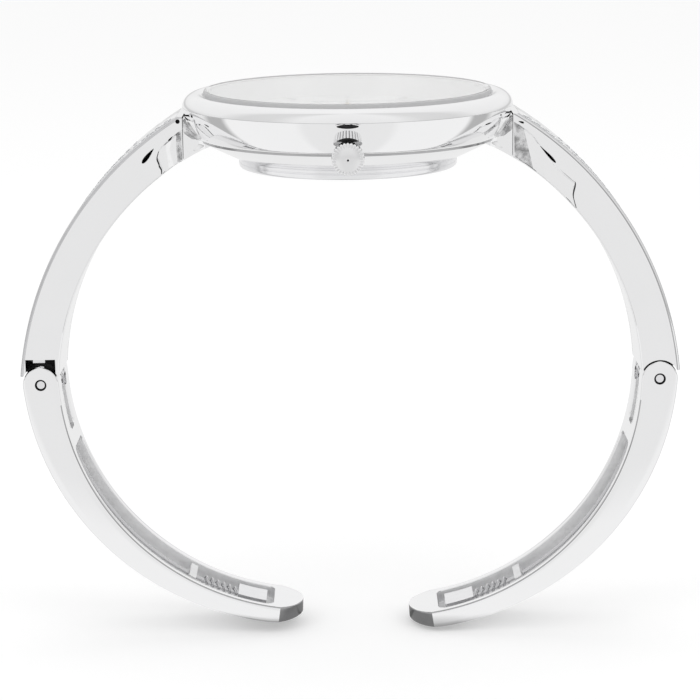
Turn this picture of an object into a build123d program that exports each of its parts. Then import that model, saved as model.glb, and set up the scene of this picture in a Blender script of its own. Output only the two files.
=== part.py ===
"""Bangle watch: a round quartz watch on a hinged half-open bangle.

Frame: the origin is the centre of the case back's outer face. +Z goes up through the dial,
+X points to twelve o'clock and -Y to the crown at three o'clock. Lengths are in millimetres.
The left arms lie on -X. They are modelled there and mirrored for the right side.
"""

from build123d import *
import math
import os

os.makedirs("parts", exist_ok=True)

# Case and bezel
case_radius = 16.6
crystal_proud = 0.4
bezel_height = 1.15
bezel_width = 2.15
bezel_lip = 0.15
bezel_spigot_depth = 0.4
bezel_spigot_inset = 1.8
shoulder_bulge_share = 0.76
band_taper = 1.5
band_bulge_share = 0.66
step_height = 2.6
step_ledge = 0.14
step_groove = 0.12
back_radius = 11.0
back_thickness = 0.95
back_edge_round = 0.25
back_ring_width = 1.6
back_ring_depth = 0.12
back_recess_depth = 0.38
back_spigot_height = 0.5
back_spigot_wall = 0.6
back_seat_width = 0.8
pry_notch_length = 3.0
pry_notch_height = 0.35
pry_notch_depth = 0.5
cavity_wall = 3.2
dial_well_wall = 2.7
back_gasket_width = 0.34
back_gasket_height = 0.34

# Crystal and dial
crystal_thickness = 1.1
crystal_chamfer = 0.16
crystal_gasket_wall = 0.12
dial_thickness = 0.4
dial_ring_base = 0.85
dial_ring_top = 0.3
dial_ring_gap = 0.1
marker_length = 1.5
marker_width = 0.45
marker_height = 0.16
marker_edge_gap = 0.6
marker_count = 12
dial_foot_radius = 0.35
dial_foot_place = 7.6

# Hands
hour_hand_gap = 6.42
minute_hand_gap = 2.62
second_hand_gap = 1.62
second_hand_tail = 3.2
hand_thickness = 0.12
hand_lift = 0.2
hand_spacing = 0.34
hour_hand_width = 0.95
minute_hand_width = 0.75
second_hand_width = 0.2
hand_hub_wall = 0.3
shaft_end = 0.06
glass_gap = 1.11

# Movement, from the back upwards
module_radius = 9.2
module_gap = 0.15
module_wall = 0.3
screw_head_height = 0.2
screw_head_radius = 0.5
screw_radius = 0.25
bridge_thickness = 0.25
bridge_margin = 0.75
board_thickness = 0.2
wheel_thickness = 0.12
layer_lift = 0.06
layer_pitch = 0.26
plate_thickness = 1.2
motion_space = 0.5
pillar_radius = 0.6
pivot_radius = 0.15
battery_radius = 2.9
battery_height = 1.25
clamp_thickness = 0.12
clamp_width = 1.2
coil_core_half_length = 4.4
coil_core_half_width = 0.5
coil_half_length = 3.1
coil_radius = 0.55
coil_offset = 6.9
stator_thickness = 0.3
stator_ring_radius = 1.9
stator_gap = 0.2
rotor_radius = 1.0
chip_size = 1.5
chip_height = 0.45
quartz_can_radius = 0.5
quartz_can_length = 4.4

# Gear train: centre distances, pitch shares and directions seen from above
motion_centre_distance = 2.6
third_centre_distance = 3.2
intermediate_centre_distance = 3.5
rotor_centre_distance = 2.4
setting_wheel_radius = 0.9
third_direction = 200.0
intermediate_direction = 300.0
rotor_direction = 340.0
left_pillar_direction = 202.0
left_pillar_distance = 6.9
right_pillar_direction = 355.0
right_pillar_distance = 6.2
cannon_ratio = 3.0
hour_ratio = 4.0
third_ratio = 8.0
centre_ratio = 7.5
seconds_ratio = 6.0
intermediate_ratio = 5.0
mesh_gap = 0.04
seconds_shaft_radius = 0.15
centre_tube_bore = 0.2
centre_tube_radius = 0.3
cannon_tube_radius = 0.42
hour_tube_radius = 0.7

# Crown and stem
crown_radius = 1.55
crown_projection = 1.7
crown_length = 2.1
crown_dome = 0.6
crown_flutes = 28
crown_flute_depth = 0.08
crown_hollow_depth = 0.95
crown_stem_depth = 1.6
crown_spot_gap = 0.25
crown_spot_clearance = 0.28
crown_travel = 1.0
tube_radius = 0.72
tube_reach = 0.55
crown_gasket_wall = 0.2
crown_gasket_length = 0.34
stem_radius = 0.4
stem_flange_radius = 0.56
stem_flange_length = 0.15
stem_inner_end = 3.85
slide_length = 1.0
slide_half_width = 0.9
slide_height = 0.95
pinion_length = 0.7
pinion_radius = 0.56
pinion_place = 6.55
nail_nick_drop = 0.27
nail_nick_radius = 0.33
nail_nick_half_length = 1.7

# Arms seen from the crown side: the inside bends, and the thicknesses outside them
arm_half_width = 4.0
tip_half_width = 3.65
wrist_half_width = 29.61
hinge_drop = 21.72
tip_drop = 46.41
tip_half_gap = 5.55
upper_bend_radius = 27.8
upper_hinge_thickness = 3.98
upper_middle_thickness = 3.6
upper_joint_thickness = 3.98
lower_bend_radius = 25.45
lower_hinge_thickness = 3.67
lower_middle_thickness = 2.57
lower_tip_thickness = 1.68
arm_joint_inset = 0.2
arm_joint_drop = 5.12
arm_top_drop = 0.75
lug_top_drop = 0.9
lug_pin_radius = 0.5
lug_pin_reach = 1.2
lug_pin_place = 2.0
edge_round = 0.35
inner_edge_round = 0.2

# Crossing strands on each upper arm
strand_relief = 0.35
strand_border = 0.45
strand_half_width = 1.7
strand_reach = 11.9
strand_cross_reach = 5.6
strand_half_span = 4.2
strand_end_gap = 0.7
strand_steps = 12
strand_sway = 1.9
stone_radius = 0.46
stone_pitch = 1.02
stone_rows = 7
stone_height = 0.38
stone_sides = 8
stone_taper = 30.0
stone_edge_gap = 0.06
valley_depth = 0.6
valley_deck = 1.6
valley_collar = 0.45
left_valley_reach = 2.55
right_valley_reach = 4.9
valley_sway = 0.55
valley_round = 0.25

# Hinge
ear_radius = 1.83
ear_step = 0.02
pocket_gap = 0.14
pocket_lip_height = 0.9
pocket_ceiling = 2.65
pocket_half_width = 1.42
tongue_half_width = 1.7
tongue_side_gap = 0.08
knuckle_radius = 1.62
knuckle_gap = 0.2
neck_half_thickness = 1.4
boss_wall = 0.12
clevis_drop = 1.2
hinge_pin_radius = 0.48
hinge_pin_recess = 0.16
hinge_range = 25.0
left_closed_angle = 0.85
right_closed_angle = -0.85

# Spring mechanism in each lower arm, places along the inside from the tip or the hinge
floor_thickness = 0.55
hollow_depth = 2.0
channel_half_width = 2.85
channel_corner = 0.9
tip_pad_length = 3.06
bridge_place = 7.1
window_place = 5.55
window_half_width = 1.3
window_corner = 0.6
tip_sagitta = 2.3
rod_depth = 0.64
rod_radius = 0.22
rod_clearance = 0.14
eye_radius = 0.5
eye_bore = 0.34
eye_half_width = 0.4
eye_side_gap = 0.15
hook_pin_radius = 0.18
hook_lobe_radius = 0.5
block_place = 5.36
block_length = 3.1
block_half_width = 1.7
block_height = 1.05
spring_turns = 6
spring_radius = 0.5
spring_wire = 0.2
spring_pitch = 0.64
stop_length = 0.8
stop_half_width = 2.0
stop_clearance = 0.08

# Clearances
press_gap = 0.01
slip_gap = 0.03
running_gap = 0.04
seat_gap = 0.05
overrun = 1.0

# Heights worked out from the sizes above
crystal_radius = case_radius - bezel_width
bezel_spigot_radius = case_radius - bezel_spigot_inset
cavity_radius = case_radius - cavity_wall
dial_well_radius = case_radius - dial_well_wall
back_opening_radius = back_radius - back_seat_width
bezel_bore = crystal_radius + crystal_gasket_wall + press_gap
back_floor = back_thickness - back_recess_depth
module_bottom = back_floor + module_gap
bridge_low = module_bottom + screw_head_height + seat_gap
bridge_top = bridge_low + bridge_thickness
board_low = bridge_top - board_thickness
first_layer = bridge_top + layer_lift
plate_low = first_layer + layer_lift + 4 * layer_pitch
plate_top = plate_low + plate_thickness
stem_height = plate_low + plate_thickness / 2
dial_low = plate_top + motion_space
dial_top = dial_low + dial_thickness
ledge_height = plate_low + seat_gap
hour_hand_low = dial_top + hand_lift
minute_hand_low = hour_hand_low + hand_spacing
second_hand_low = minute_hand_low + hand_spacing
crystal_low = second_hand_low + hand_thickness + shaft_end + glass_gap
total_height = crystal_low + crystal_thickness
bezel_top = total_height - crystal_proud
seam_height = bezel_top - bezel_height
nail_nick_height = seam_height - nail_nick_drop
ring_opening = dial_well_radius - slip_gap - dial_ring_base
hour_hand_length = ring_opening - hour_hand_gap
minute_hand_length = ring_opening - minute_hand_gap
second_hand_length = ring_opening - second_hand_gap
crown_end = case_radius + crown_projection
crown_inner = crown_end - crown_length
spot_depth = crown_inner - crown_spot_gap
tube_bore = stem_radius + running_gap

# Gear radii worked out from the centre distances
cannon_radius = motion_centre_distance / (1 + cannon_ratio)
minute_wheel_radius = motion_centre_distance - cannon_radius
minute_pinion_radius = motion_centre_distance / (1 + hour_ratio)
hour_wheel_radius = motion_centre_distance - minute_pinion_radius
seconds_pinion_radius = third_centre_distance / (1 + third_ratio)
third_wheel_radius = third_centre_distance - seconds_pinion_radius
third_pinion_radius = third_centre_distance / (1 + centre_ratio)
centre_wheel_radius = third_centre_distance - third_pinion_radius
intermediate_pinion_radius = intermediate_centre_distance / (1 + seconds_ratio)
seconds_wheel_radius = intermediate_centre_distance - intermediate_pinion_radius
rotor_pinion_radius = rotor_centre_distance / (1 + intermediate_ratio)
intermediate_wheel_radius = rotor_centre_distance - rotor_pinion_radius

BOTTOM = (Align.CENTER, Align.CENTER, Align.MIN)


def arc_centre(start, end, radius):
    """The centre of an arc that turns right from one place to the other in the side view."""
    (x0, z0), (x1, z1) = start, end
    chord = math.hypot(x1 - x0, z1 - z0)
    rise = math.sqrt(radius ** 2 - chord ** 2 / 4)
    return (x0 + x1) / 2 + (z1 - z0) / chord * rise, (z0 + z1) / 2 - (x1 - x0) / chord * rise


def circle_through(a, b, c):
    """The centre and radius of the circle through three places in the side view."""
    (ax, az), (bx, bz), (cx, cz) = a, b, c
    twice = 2 * (ax * (bz - cz) + bx * (cz - az) + cx * (az - bz))
    a2, b2, c2 = ax ** 2 + az ** 2, bx ** 2 + bz ** 2, cx ** 2 + cz ** 2
    x = (a2 * (bz - cz) + b2 * (cz - az) + c2 * (az - bz)) / twice
    z = (a2 * (cx - bx) + b2 * (ax - cx) + c2 * (bx - ax)) / twice
    return x, z, math.hypot(ax - x, az - z)


def outside_arc(centre, radius, start, end, thicknesses):
    """The circle that lies outside an arc by its thicknesses at both ends and the middle."""
    cx, cz = centre
    first, last = (math.atan2(z - cz, cx - x) for x, z in (start, end))
    turns = (first, (first + last) / 2, last)
    places = [(cx - (radius + more) * math.cos(turn), cz + (radius + more) * math.sin(turn))
              for turn, more in zip(turns, thicknesses)]
    return circle_through(*places)


# Places in the side view, worked out from the sizes above
hinge_x = -(wrist_half_width + ear_radius + ear_step)
hinge_z = -hinge_drop
arm_joint_x = arm_joint_inset - case_radius
arm_top_height = seam_height - arm_top_drop
lug_top_height = seam_height - lug_top_drop
tip_x = -tip_half_gap
strand_start_x = arm_joint_x - strand_reach
strand_cross_x = arm_joint_x - strand_cross_reach
strand_end_x = arm_joint_x - strand_end_gap
upper_start = (-wrist_half_width, -hinge_drop)
upper_end = (arm_joint_x, seam_height - arm_joint_drop)
upper_inner_radius = upper_bend_radius
upper_inner_x, upper_inner_z = arc_centre(upper_start, upper_end, upper_inner_radius)
upper_outer_x, upper_outer_z, upper_outer_radius = outside_arc(
    (upper_inner_x, upper_inner_z), upper_inner_radius, upper_start, upper_end,
    (upper_hinge_thickness, upper_middle_thickness, upper_joint_thickness))
lower_end = (tip_x, -tip_drop)
lower_inner_radius = lower_bend_radius
lower_inner_x, lower_inner_z = arc_centre(lower_end, upper_start, lower_inner_radius)
lower_outer_x, lower_outer_z, lower_outer_radius = outside_arc(
    (lower_inner_x, lower_inner_z), lower_inner_radius, upper_start, lower_end,
    (lower_hinge_thickness, lower_middle_thickness, lower_tip_thickness))
rod_arc_radius = lower_inner_radius + rod_depth
hook_offset = (lower_inner_x - math.sqrt(rod_arc_radius ** 2 - (lower_inner_z - hinge_z) ** 2)
               - hinge_x)
rod_travel = hook_offset * math.sin(math.radians(hinge_range))
rod_turn = math.degrees(rod_travel / rod_arc_radius)
hinge_angle = math.degrees(math.atan2(lower_inner_x - hinge_x, lower_inner_z - hinge_z))
tip_angle = math.degrees(math.atan2(lower_inner_x - tip_x, lower_inner_z + tip_drop))
channel_start_angle = tip_angle + math.degrees(tip_pad_length / lower_inner_radius)
channel_end_angle = hinge_angle - math.degrees(bridge_place / lower_inner_radius)
window_start_angle = hinge_angle - math.degrees(window_place / lower_inner_radius)
block_angle = tip_angle + math.degrees(block_place / lower_inner_radius)
overrun_angle = math.degrees(overrun / lower_inner_radius)


def disc(radius, low, high, x=0, y=0):
    """An upright cylinder between two heights."""
    return Pos(x, y, low) * Cylinder(radius, high - low, align=BOTTOM)


def ring(outer, inner, low, high, x=0, y=0):
    """An upright ring between two heights."""
    return disc(outer, low, high, x, y) - disc(inner, low - overrun, high + overrun, x, y)


def block(x0, x1, y0, y1, z0, z1):
    """A box between three pairs of places."""
    middle = Pos((x0 + x1) / 2, (y0 + y1) / 2, (z0 + z1) / 2)
    return middle * Box(x1 - x0, y1 - y0, z1 - z0)


def turned(*edges):
    """A body turned about the Z axis from its outline in radius and height."""
    return revolve(Plane.XZ * make_face(list(edges)), Axis.Z)


def outline(*points):
    """The straight edges through a row of points."""
    return [Line(a, b) for a, b in zip(points[:-1], points[1:])]


def polar(distance, direction):
    """A place at a distance and a direction in degrees, seen from above."""
    angle = math.radians(direction)
    return distance * math.cos(angle), distance * math.sin(angle)


def along_y(radius, near, far, x, z):
    """A cylinder lying along Y between two places."""
    rod = Cylinder(radius, far - near, rotation=(90, 0, 0))
    return Pos(x, (near + far) / 2, z) * rod


def side_circle(x, z, radius):
    """A disc drawn in the side view."""
    return Plane.XZ * Pos(x, z) * Circle(radius)


def side_face(*points):
    """A straight-sided face drawn in the side view."""
    return Plane.XZ * make_face(outline(*points, points[0]))


def thick(face, half_width):
    """A side-view face made solid to both sides of the middle."""
    return extrude(face, amount=half_width, both=True)


third_x, third_y = polar(third_centre_distance, third_direction)
intermediate_x, intermediate_y = polar(intermediate_centre_distance, intermediate_direction)
rotor_step_x, rotor_step_y = polar(rotor_centre_distance, rotor_direction)
rotor_x, rotor_y = intermediate_x + rotor_step_x, intermediate_y + rotor_step_y
left_pillar = polar(left_pillar_distance, left_pillar_direction)
right_pillar = polar(right_pillar_distance, right_pillar_direction)
battery_y = module_radius - module_wall - battery_radius - slip_gap


def case_envelope(gap=0):
    """The case turned solid, from the back's seat to the bezel seam, grown by a gap."""
    step_radius = case_radius - band_taper
    low = (back_radius + gap, back_thickness)
    under = (step_radius - step_ledge + gap, step_height - step_groove - gap)
    step = (step_radius + gap, step_height - gap)
    top = (case_radius + gap, seam_height)
    middle = (step_radius + band_bulge_share * band_taper + gap, (step_height + seam_height) / 2)
    edges = outline((0, back_thickness), low, under, step)
    edges += [ThreePointArc(step, middle, top)]
    edges += outline(top, (0, seam_height), (0, back_thickness))
    return turned(*edges)


def lug(side):
    """The block that carries one arm, with its underside on the arm's inner arc."""
    inner_arc = side_circle(upper_inner_x, upper_inner_z, upper_inner_radius)
    inside_x = -(back_radius + back_gasket_width)
    area = side_face((arm_joint_x, 0), (inside_x, 0), (inside_x, lug_top_height),
                     (arm_joint_x, lug_top_height))
    solid = thick(area - inner_arc, arm_half_width)
    solid -= disc(cavity_radius + band_taper / 2, -overrun, seam_height)
    return solid if side < 0 else mirror(solid, about=Plane.YZ)


def case_body():
    """The middle case with its lugs, cavity, crown hole and nail nick."""
    body = case_envelope() + lug(-1) + lug(1)
    body -= disc(back_opening_radius, -overrun, ledge_height + overrun)
    groove = back_opening_radius + back_gasket_width + seat_gap
    body -= disc(groove, -overrun, back_thickness + back_gasket_height + seat_gap)
    body -= disc(cavity_radius, ledge_height, seam_height + overrun)
    body -= disc(dial_well_radius, dial_low, seam_height + overrun)
    body -= disc(bezel_spigot_radius + press_gap, seam_height - bezel_spigot_depth - slip_gap,
                 seam_height + overrun)
    body -= along_y(tube_radius + press_gap, -case_radius - overrun, -back_radius, 0, stem_height)
    body -= along_y(crown_radius + crown_spot_clearance, -case_radius - overrun, -spot_depth,
                    0, stem_height)
    body -= nail_nick()
    for side in (-1, 1):
        body -= lug_pins(side, press_gap)
    return body


def nail_nick():
    """The pointed hollow under the bezel, where a nail or a blade lifts it."""
    half = nail_nick_half_length
    edges = [ThreePointArc((-half, 0), (0, nail_nick_radius), (half, 0)), Line((half, 0), (-half, 0))]
    place = Pos(0, -wall_radius(nail_nick_height), nail_nick_height)
    return place * revolve(make_face(edges), Axis.X)


def wall_radius(height):
    """The case's outside radius at a height, along the arc through its three points."""
    low_r, low_z = case_radius - band_taper, step_height
    high_r, high_z = case_radius, seam_height
    share = (height - low_z) / (high_z - low_z)
    bulge = (band_bulge_share - 1 / 2) * band_taper * 4 * share * (1 - share)
    return low_r + share * (high_r - low_r) + bulge


def lug_pins(side, gap=0):
    """Two blind pins that locate and hold one arm on its lug."""
    pin = Cylinder(lug_pin_radius + gap, 2 * lug_pin_reach + 2 * gap, rotation=(0, 90, 0))
    height = (lug_top_height + step_height) / 2
    place = side * abs(arm_joint_x)
    return Part() + [Pos(place, y, height) * pin for y in (-lug_pin_place, lug_pin_place)]


def bezel():
    """The rounded ring that holds the crystal, with a spigot into the case."""
    top_radius = bezel_bore + bezel_lip
    mid_r = top_radius + shoulder_bulge_share * (case_radius - top_radius)
    mid_z = seam_height + shoulder_bulge_share * (bezel_top - seam_height)
    spigot_low = seam_height - bezel_spigot_depth
    seat = crystal_low
    edges = outline((bezel_bore, bezel_top), (bezel_bore, seat), (dial_well_radius, seat),
                    (dial_well_radius, spigot_low), (bezel_spigot_radius, spigot_low),
                    (bezel_spigot_radius, seam_height), (case_radius, seam_height))
    edges += [ThreePointArc((case_radius, seam_height), (mid_r, mid_z), (top_radius, bezel_top))]
    edges += outline((top_radius, bezel_top), (bezel_bore, bezel_top))
    return turned(*edges)


def crystal():
    """The flat mineral glass with a ground edge."""
    glass = disc(crystal_radius, crystal_low, total_height)
    rim = glass.edges().group_by(Axis.Z)[-1]
    return chamfer(rim, crystal_chamfer)


def crystal_gasket():
    """The plastic ring that the crystal is pressed into."""
    outer = crystal_radius + crystal_gasket_wall
    return ring(outer, crystal_radius + press_gap, crystal_low, bezel_top - seat_gap)


def case_back():
    """The snap-on back: a disc with a turned ring, a spigot and a pry notch."""
    plate = disc(back_radius, 0, back_thickness)
    plate = fillet(plate.edges().group_by(Axis.Z)[0], back_edge_round)
    outer = back_radius - back_ring_width
    plate -= ring(outer, outer - back_ring_width / 2, -overrun, back_ring_depth)
    spigot_radius = back_opening_radius - seat_gap
    plate -= disc(spigot_radius - back_spigot_wall, back_floor, back_thickness + overrun)
    plate += ring(spigot_radius, spigot_radius - back_spigot_wall, back_thickness - seat_gap,
                  back_thickness + back_spigot_height)
    notch_y = back_radius - pry_notch_depth
    half = pry_notch_length / 2
    plate -= block(-half, half, notch_y, back_radius + overrun,
                   back_thickness - pry_notch_height, back_thickness + overrun)
    return plate


def case_back_gasket():
    """The sealing ring in the groove around the back's opening."""
    inner = back_opening_radius + seat_gap / 2
    return ring(inner + back_gasket_width, inner, back_thickness + press_gap,
                back_thickness + back_gasket_height)


def dial_ring():
    """The sloping inner flange between the dial and the crystal."""
    outer = dial_well_radius - slip_gap
    top = crystal_low - dial_ring_gap
    edges = outline((outer, dial_top), (outer, top), (outer - dial_ring_top, top),
                    (outer - dial_ring_base, dial_top), (outer, dial_top))
    return turned(*edges)


def dial():
    """The dial plate with two feet on its underside."""
    plate = disc(dial_well_radius - slip_gap, dial_low, dial_top)
    plate -= disc(hour_tube_radius + seat_gap, dial_low - overrun, dial_top + overrun)
    for x in (-dial_foot_place, dial_foot_place):
        plate += disc(dial_foot_radius, plate_top - motion_space, dial_low + seat_gap, x)
    return plate


def hour_markers():
    """Twelve applied batons, a wider one at twelve o'clock."""
    outer = dial_well_radius - dial_ring_base - marker_edge_gap
    markers = Part()
    for hour in range(marker_count):
        width = marker_width * 2 if hour == 0 else marker_width
        baton = block(outer - marker_length, outer, -width / 2, width / 2,
                      dial_top, dial_top + marker_height)
        markers += Rot(0, 0, 360 * hour / marker_count) * baton
    return markers


def hand(length, tail, width, low, hub_radius, bore):
    """A tapered hand that points to twelve o'clock, with its hub."""
    face = make_face(outline((-tail, -width / 4), (0, -width / 2), (length, 0), (0, width / 2),
                             (-tail, width / 4), (-tail, -width / 4)))
    blade = Pos(0, 0, low) * extrude(face, amount=hand_thickness)
    blade += disc(hub_radius, low, low + hand_thickness)
    return blade - disc(bore, low - overrun, low + hand_thickness + overrun)


def hour_hand():
    """The hour hand, pressed on the hour wheel's tube."""
    bore = hour_tube_radius + press_gap
    return hand(hour_hand_length, hour_hand_width, hour_hand_width, hour_hand_low,
                bore + hand_hub_wall, bore)


def minute_hand():
    """The minute hand, pressed on the cannon pinion."""
    bore = cannon_tube_radius + press_gap
    return hand(minute_hand_length, minute_hand_width, minute_hand_width, minute_hand_low,
                bore + hand_hub_wall, bore)


def second_hand():
    """The seconds hand with its counterweight tail."""
    bore = seconds_shaft_radius + press_gap
    blade = hand(second_hand_length, second_hand_tail, second_hand_width, second_hand_low,
                 bore + hand_hub_wall, bore)
    weight_radius = second_hand_width * 2
    return blade + disc(weight_radius, second_hand_low, second_hand_low + hand_thickness,
                        -second_hand_tail)


def movement_holder():
    """The plastic ring between the movement and the case."""
    body = ring(cavity_radius - seat_gap, module_radius + seat_gap, ledge_height, dial_low)
    hole = stem_radius + 2 * seat_gap
    return body - along_y(hole, -cavity_radius - overrun, -module_radius + overrun, 0, stem_height)


def main_plate():
    """The movement's plate: rims up and down, stem hole, slide pocket and pinion window."""
    plate = disc(module_radius, plate_low, plate_top)
    inner = module_radius - module_wall
    plate += ring(module_radius, inner, module_bottom, plate_low + seat_gap)
    plate += ring(module_radius, inner, plate_top - seat_gap, dial_low)
    plate -= disc(cannon_tube_radius + seat_gap, module_bottom, dial_low)
    plate -= along_y(tube_bore, -module_radius - overrun, -stem_inner_end, 0, stem_height)
    pocket_y0 = slide_outer_y() - stem_flange_length - crown_travel - 2 * seat_gap
    side = slide_half_width + seat_gap
    low = stem_height - slide_height / 2 - seat_gap
    plate -= block(-side, side, pocket_y0, -stem_inner_end + 2 * seat_gap, low,
                   plate_top + overrun)
    window_y0 = -pinion_place - pinion_length - crown_travel - seat_gap
    half = pinion_radius + 3 * seat_gap
    plate -= block(-half, half, window_y0, -pinion_place + 2 * seat_gap,
                   plate_low - overrun, plate_top + overrun)
    for x in (-dial_foot_place, dial_foot_place):
        plate -= disc(dial_foot_radius + slip_gap, plate_low - overrun, plate_top + overrun, x)
    for x, y in (left_pillar, right_pillar):
        plate -= disc(screw_radius + slip_gap, plate_low - overrun, plate_top - seat_gap, x, y)
    return plate


def slide_outer_y():
    """The outer face of the setting slide, which lies on the stem's inner end."""
    return -stem_inner_end - stem_flange_length - slip_gap - slide_length


def setting_slide():
    """The block that the stem carries along when the crown is pulled."""
    y0 = slide_outer_y()
    half = slide_height / 2
    body = block(-slide_half_width, slide_half_width, y0, y0 + slide_length,
                 stem_height - half, stem_height + half)
    return body - along_y(tube_bore, y0 - overrun, y0 + slide_length + overrun, 0, stem_height)


def stem():
    """The winding stem with two collars that hold the setting slide."""
    outer_end = -crown_inner - crown_stem_depth + seat_gap
    rod = along_y(stem_radius, outer_end, -stem_inner_end, 0, stem_height)
    inner_y = -stem_inner_end - stem_flange_length
    outer_y = slide_outer_y() - slip_gap - stem_flange_length
    for y in (inner_y, outer_y):
        rod += along_y(stem_flange_radius, y, y + stem_flange_length, 0, stem_height)
    return rod


def sliding_pinion():
    """The setting pinion on the stem."""
    y0 = -pinion_place - pinion_length
    body = along_y(pinion_radius, y0, -pinion_place, 0, stem_height)
    return body - along_y(stem_radius + press_gap, y0 - overrun, overrun, 0, stem_height)


def crown():
    """The domed and fluted crown, hollow over the tube."""
    end, inner = crown_end, crown_inner
    dome = end - crown_dome
    edges = outline((0, -inner), (crown_radius, -inner), (crown_radius, -dome))
    ball = (crown_radius ** 2 + crown_dome ** 2) / (2 * crown_dome)
    mid = (crown_radius / 2, ball - end - math.sqrt(ball ** 2 - (crown_radius / 2) ** 2))
    edges += [ThreePointArc((crown_radius, -dome), mid, (0, -end)), Line((0, -end), (0, -inner))]
    body = revolve(make_face(edges), Axis.Y)
    body = Pos(0, 0, stem_height) * body
    for index in range(crown_flutes):
        turn = 2 * math.pi * (index + 1 / 2) / crown_flutes
        body -= along_y(crown_flute_depth, -dome + seat_gap, -inner + overrun,
                        crown_radius * math.cos(turn), stem_height + crown_radius * math.sin(turn))
    hollow = tube_radius + running_gap + crown_gasket_wall + press_gap
    body -= along_y(hollow, -inner - crown_hollow_depth, -inner + overrun, 0, stem_height)
    return body - along_y(stem_radius + press_gap, -inner - crown_stem_depth, -inner,
                          0, stem_height)


def crown_gasket():
    """The sealing ring that runs on the crown tube."""
    bore = tube_radius + running_gap
    y1 = -crown_inner - seat_gap
    body = along_y(bore + crown_gasket_wall, y1 - crown_gasket_length, y1, 0, stem_height)
    return body - along_y(bore, y1 - crown_gasket_length - overrun, y1 + overrun, 0, stem_height)


def crown_tube():
    """The tube pressed into the case that guides the stem."""
    y0, y1 = -crown_inner - tube_reach, -cavity_radius - seat_gap
    body = along_y(tube_radius, y0, y1, 0, stem_height)
    return body - along_y(tube_bore, y0 - overrun, y1 + overrun, 0, stem_height)


def layer(index):
    """The underside of one of the train's four wheel layers."""
    return first_layer + index * layer_pitch


def wheel(radius, index, x=0, y=0, pinion=0, pinion_index=0):
    """A wheel and its pinion on a pivot between the bridge and the plate."""
    low = layer(index)
    body = disc(radius - mesh_gap, low, low + wheel_thickness, x, y)
    if pinion:
        base = layer(pinion_index)
        body += disc(pinion, base, base + wheel_thickness, x, y)
    return body


def pivoted(body, x, y):
    """A wheel with its arbor, which ends just short of the bridge and the plate."""
    return body + disc(pivot_radius, bridge_top + layer_lift / 2, plate_low - layer_lift / 2, x, y)


def seconds_wheel():
    """The seconds wheel, its pinion and the long shaft that carries the hand."""
    body = wheel(seconds_wheel_radius, 1, 0, 0, seconds_pinion_radius, 2)
    top = second_hand_low + hand_thickness + shaft_end
    return body + disc(seconds_shaft_radius, bridge_top + layer_lift / 2, top)


def third_wheel():
    """The third wheel, driven by the seconds pinion."""
    return pivoted(wheel(third_wheel_radius, 2, third_x, third_y, third_pinion_radius, 3),
                   third_x, third_y)


def intermediate_wheel():
    """The wheel between the rotor and the seconds wheel."""
    body = wheel(intermediate_wheel_radius, 0, intermediate_x, intermediate_y,
                 intermediate_pinion_radius, 1)
    return pivoted(body, intermediate_x, intermediate_y)


def rotor():
    """The stepping motor's magnet on its arbor."""
    low = layer(3) - stator_thickness / 2
    body = disc(rotor_radius, low, low + stator_thickness * 1.2, rotor_x, rotor_y)
    base = layer(0)
    body += disc(rotor_pinion_radius, base, base + wheel_thickness, rotor_x, rotor_y)
    return pivoted(body, rotor_x, rotor_y)


def centre_wheel():
    """The centre wheel, whose tube carries the cannon pinion."""
    low = layer(3)
    body = disc(centre_wheel_radius - mesh_gap, low, low + wheel_thickness)
    body += disc(centre_tube_radius, low, minute_hand_low)
    return body - disc(centre_tube_bore, low - overrun, minute_hand_low + overrun)


def cannon_pinion():
    """The cannon pinion on the centre tube, which carries the minute hand."""
    low = plate_top + slip_gap
    body = disc(cannon_radius - mesh_gap, low, low + wheel_thickness)
    body += disc(cannon_tube_radius, low, minute_hand_low + hand_thickness)
    return body - disc(centre_tube_radius + press_gap, low - overrun,
                       second_hand_low)


def minute_wheel():
    """The motion-work wheel between the cannon pinion and the hour wheel."""
    low = plate_top + slip_gap
    y = -motion_centre_distance
    body = disc(minute_wheel_radius - mesh_gap, low, low + wheel_thickness, 0, y)
    return body + disc(minute_pinion_radius - mesh_gap, low, low + 2 * wheel_thickness + slip_gap,
                       0, y)


def hour_wheel():
    """The hour wheel and its tube, which carries the hour hand."""
    low = plate_top + 2 * slip_gap + wheel_thickness
    body = disc(hour_wheel_radius - mesh_gap, low, low + wheel_thickness)
    body += disc(hour_tube_radius, low, hour_hand_low + hand_thickness)
    return body - disc(cannon_tube_radius + running_gap, low - overrun, hour_hand_low + overrun)


def setting_wheel():
    """The wheel between the stem's pinion and the minute wheel."""
    low = plate_top + slip_gap
    y = -motion_centre_distance - minute_wheel_radius - setting_wheel_radius
    return disc(setting_wheel_radius - mesh_gap, low, low + wheel_thickness, 0, y)


def bridge_outline(margin):
    """The train bridge's outline: a hull round its pivots and pillars."""
    places = [(0, 0), (third_x, third_y), (intermediate_x, intermediate_y), (rotor_x, rotor_y),
              left_pillar, right_pillar]
    circles = [Pos(x, y) * Circle(bridge_margin + margin) for x, y in places]
    return make_hull([circle.edge() for circle in circles])


def train_bridge():
    """The plate that holds the wheels' back pivots, on two pillars."""
    body = Pos(0, 0, bridge_low) * extrude(bridge_outline(0), amount=bridge_thickness)
    for x, y in (left_pillar, right_pillar):
        body += disc(pillar_radius, bridge_low, plate_low, x, y)
        body -= disc(screw_radius + slip_gap, bridge_low - overrun, plate_low + overrun, x, y)
    return body


def bridge_screws():
    """Two screws that hold the bridge on the plate."""
    screws = Part()
    for x, y in (left_pillar, right_pillar):
        screws += disc(screw_head_radius, bridge_low - screw_head_height, bridge_low, x, y)
        screws += disc(screw_radius, bridge_low - seat_gap, plate_low + plate_thickness / 2, x, y)
    return screws


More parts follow.
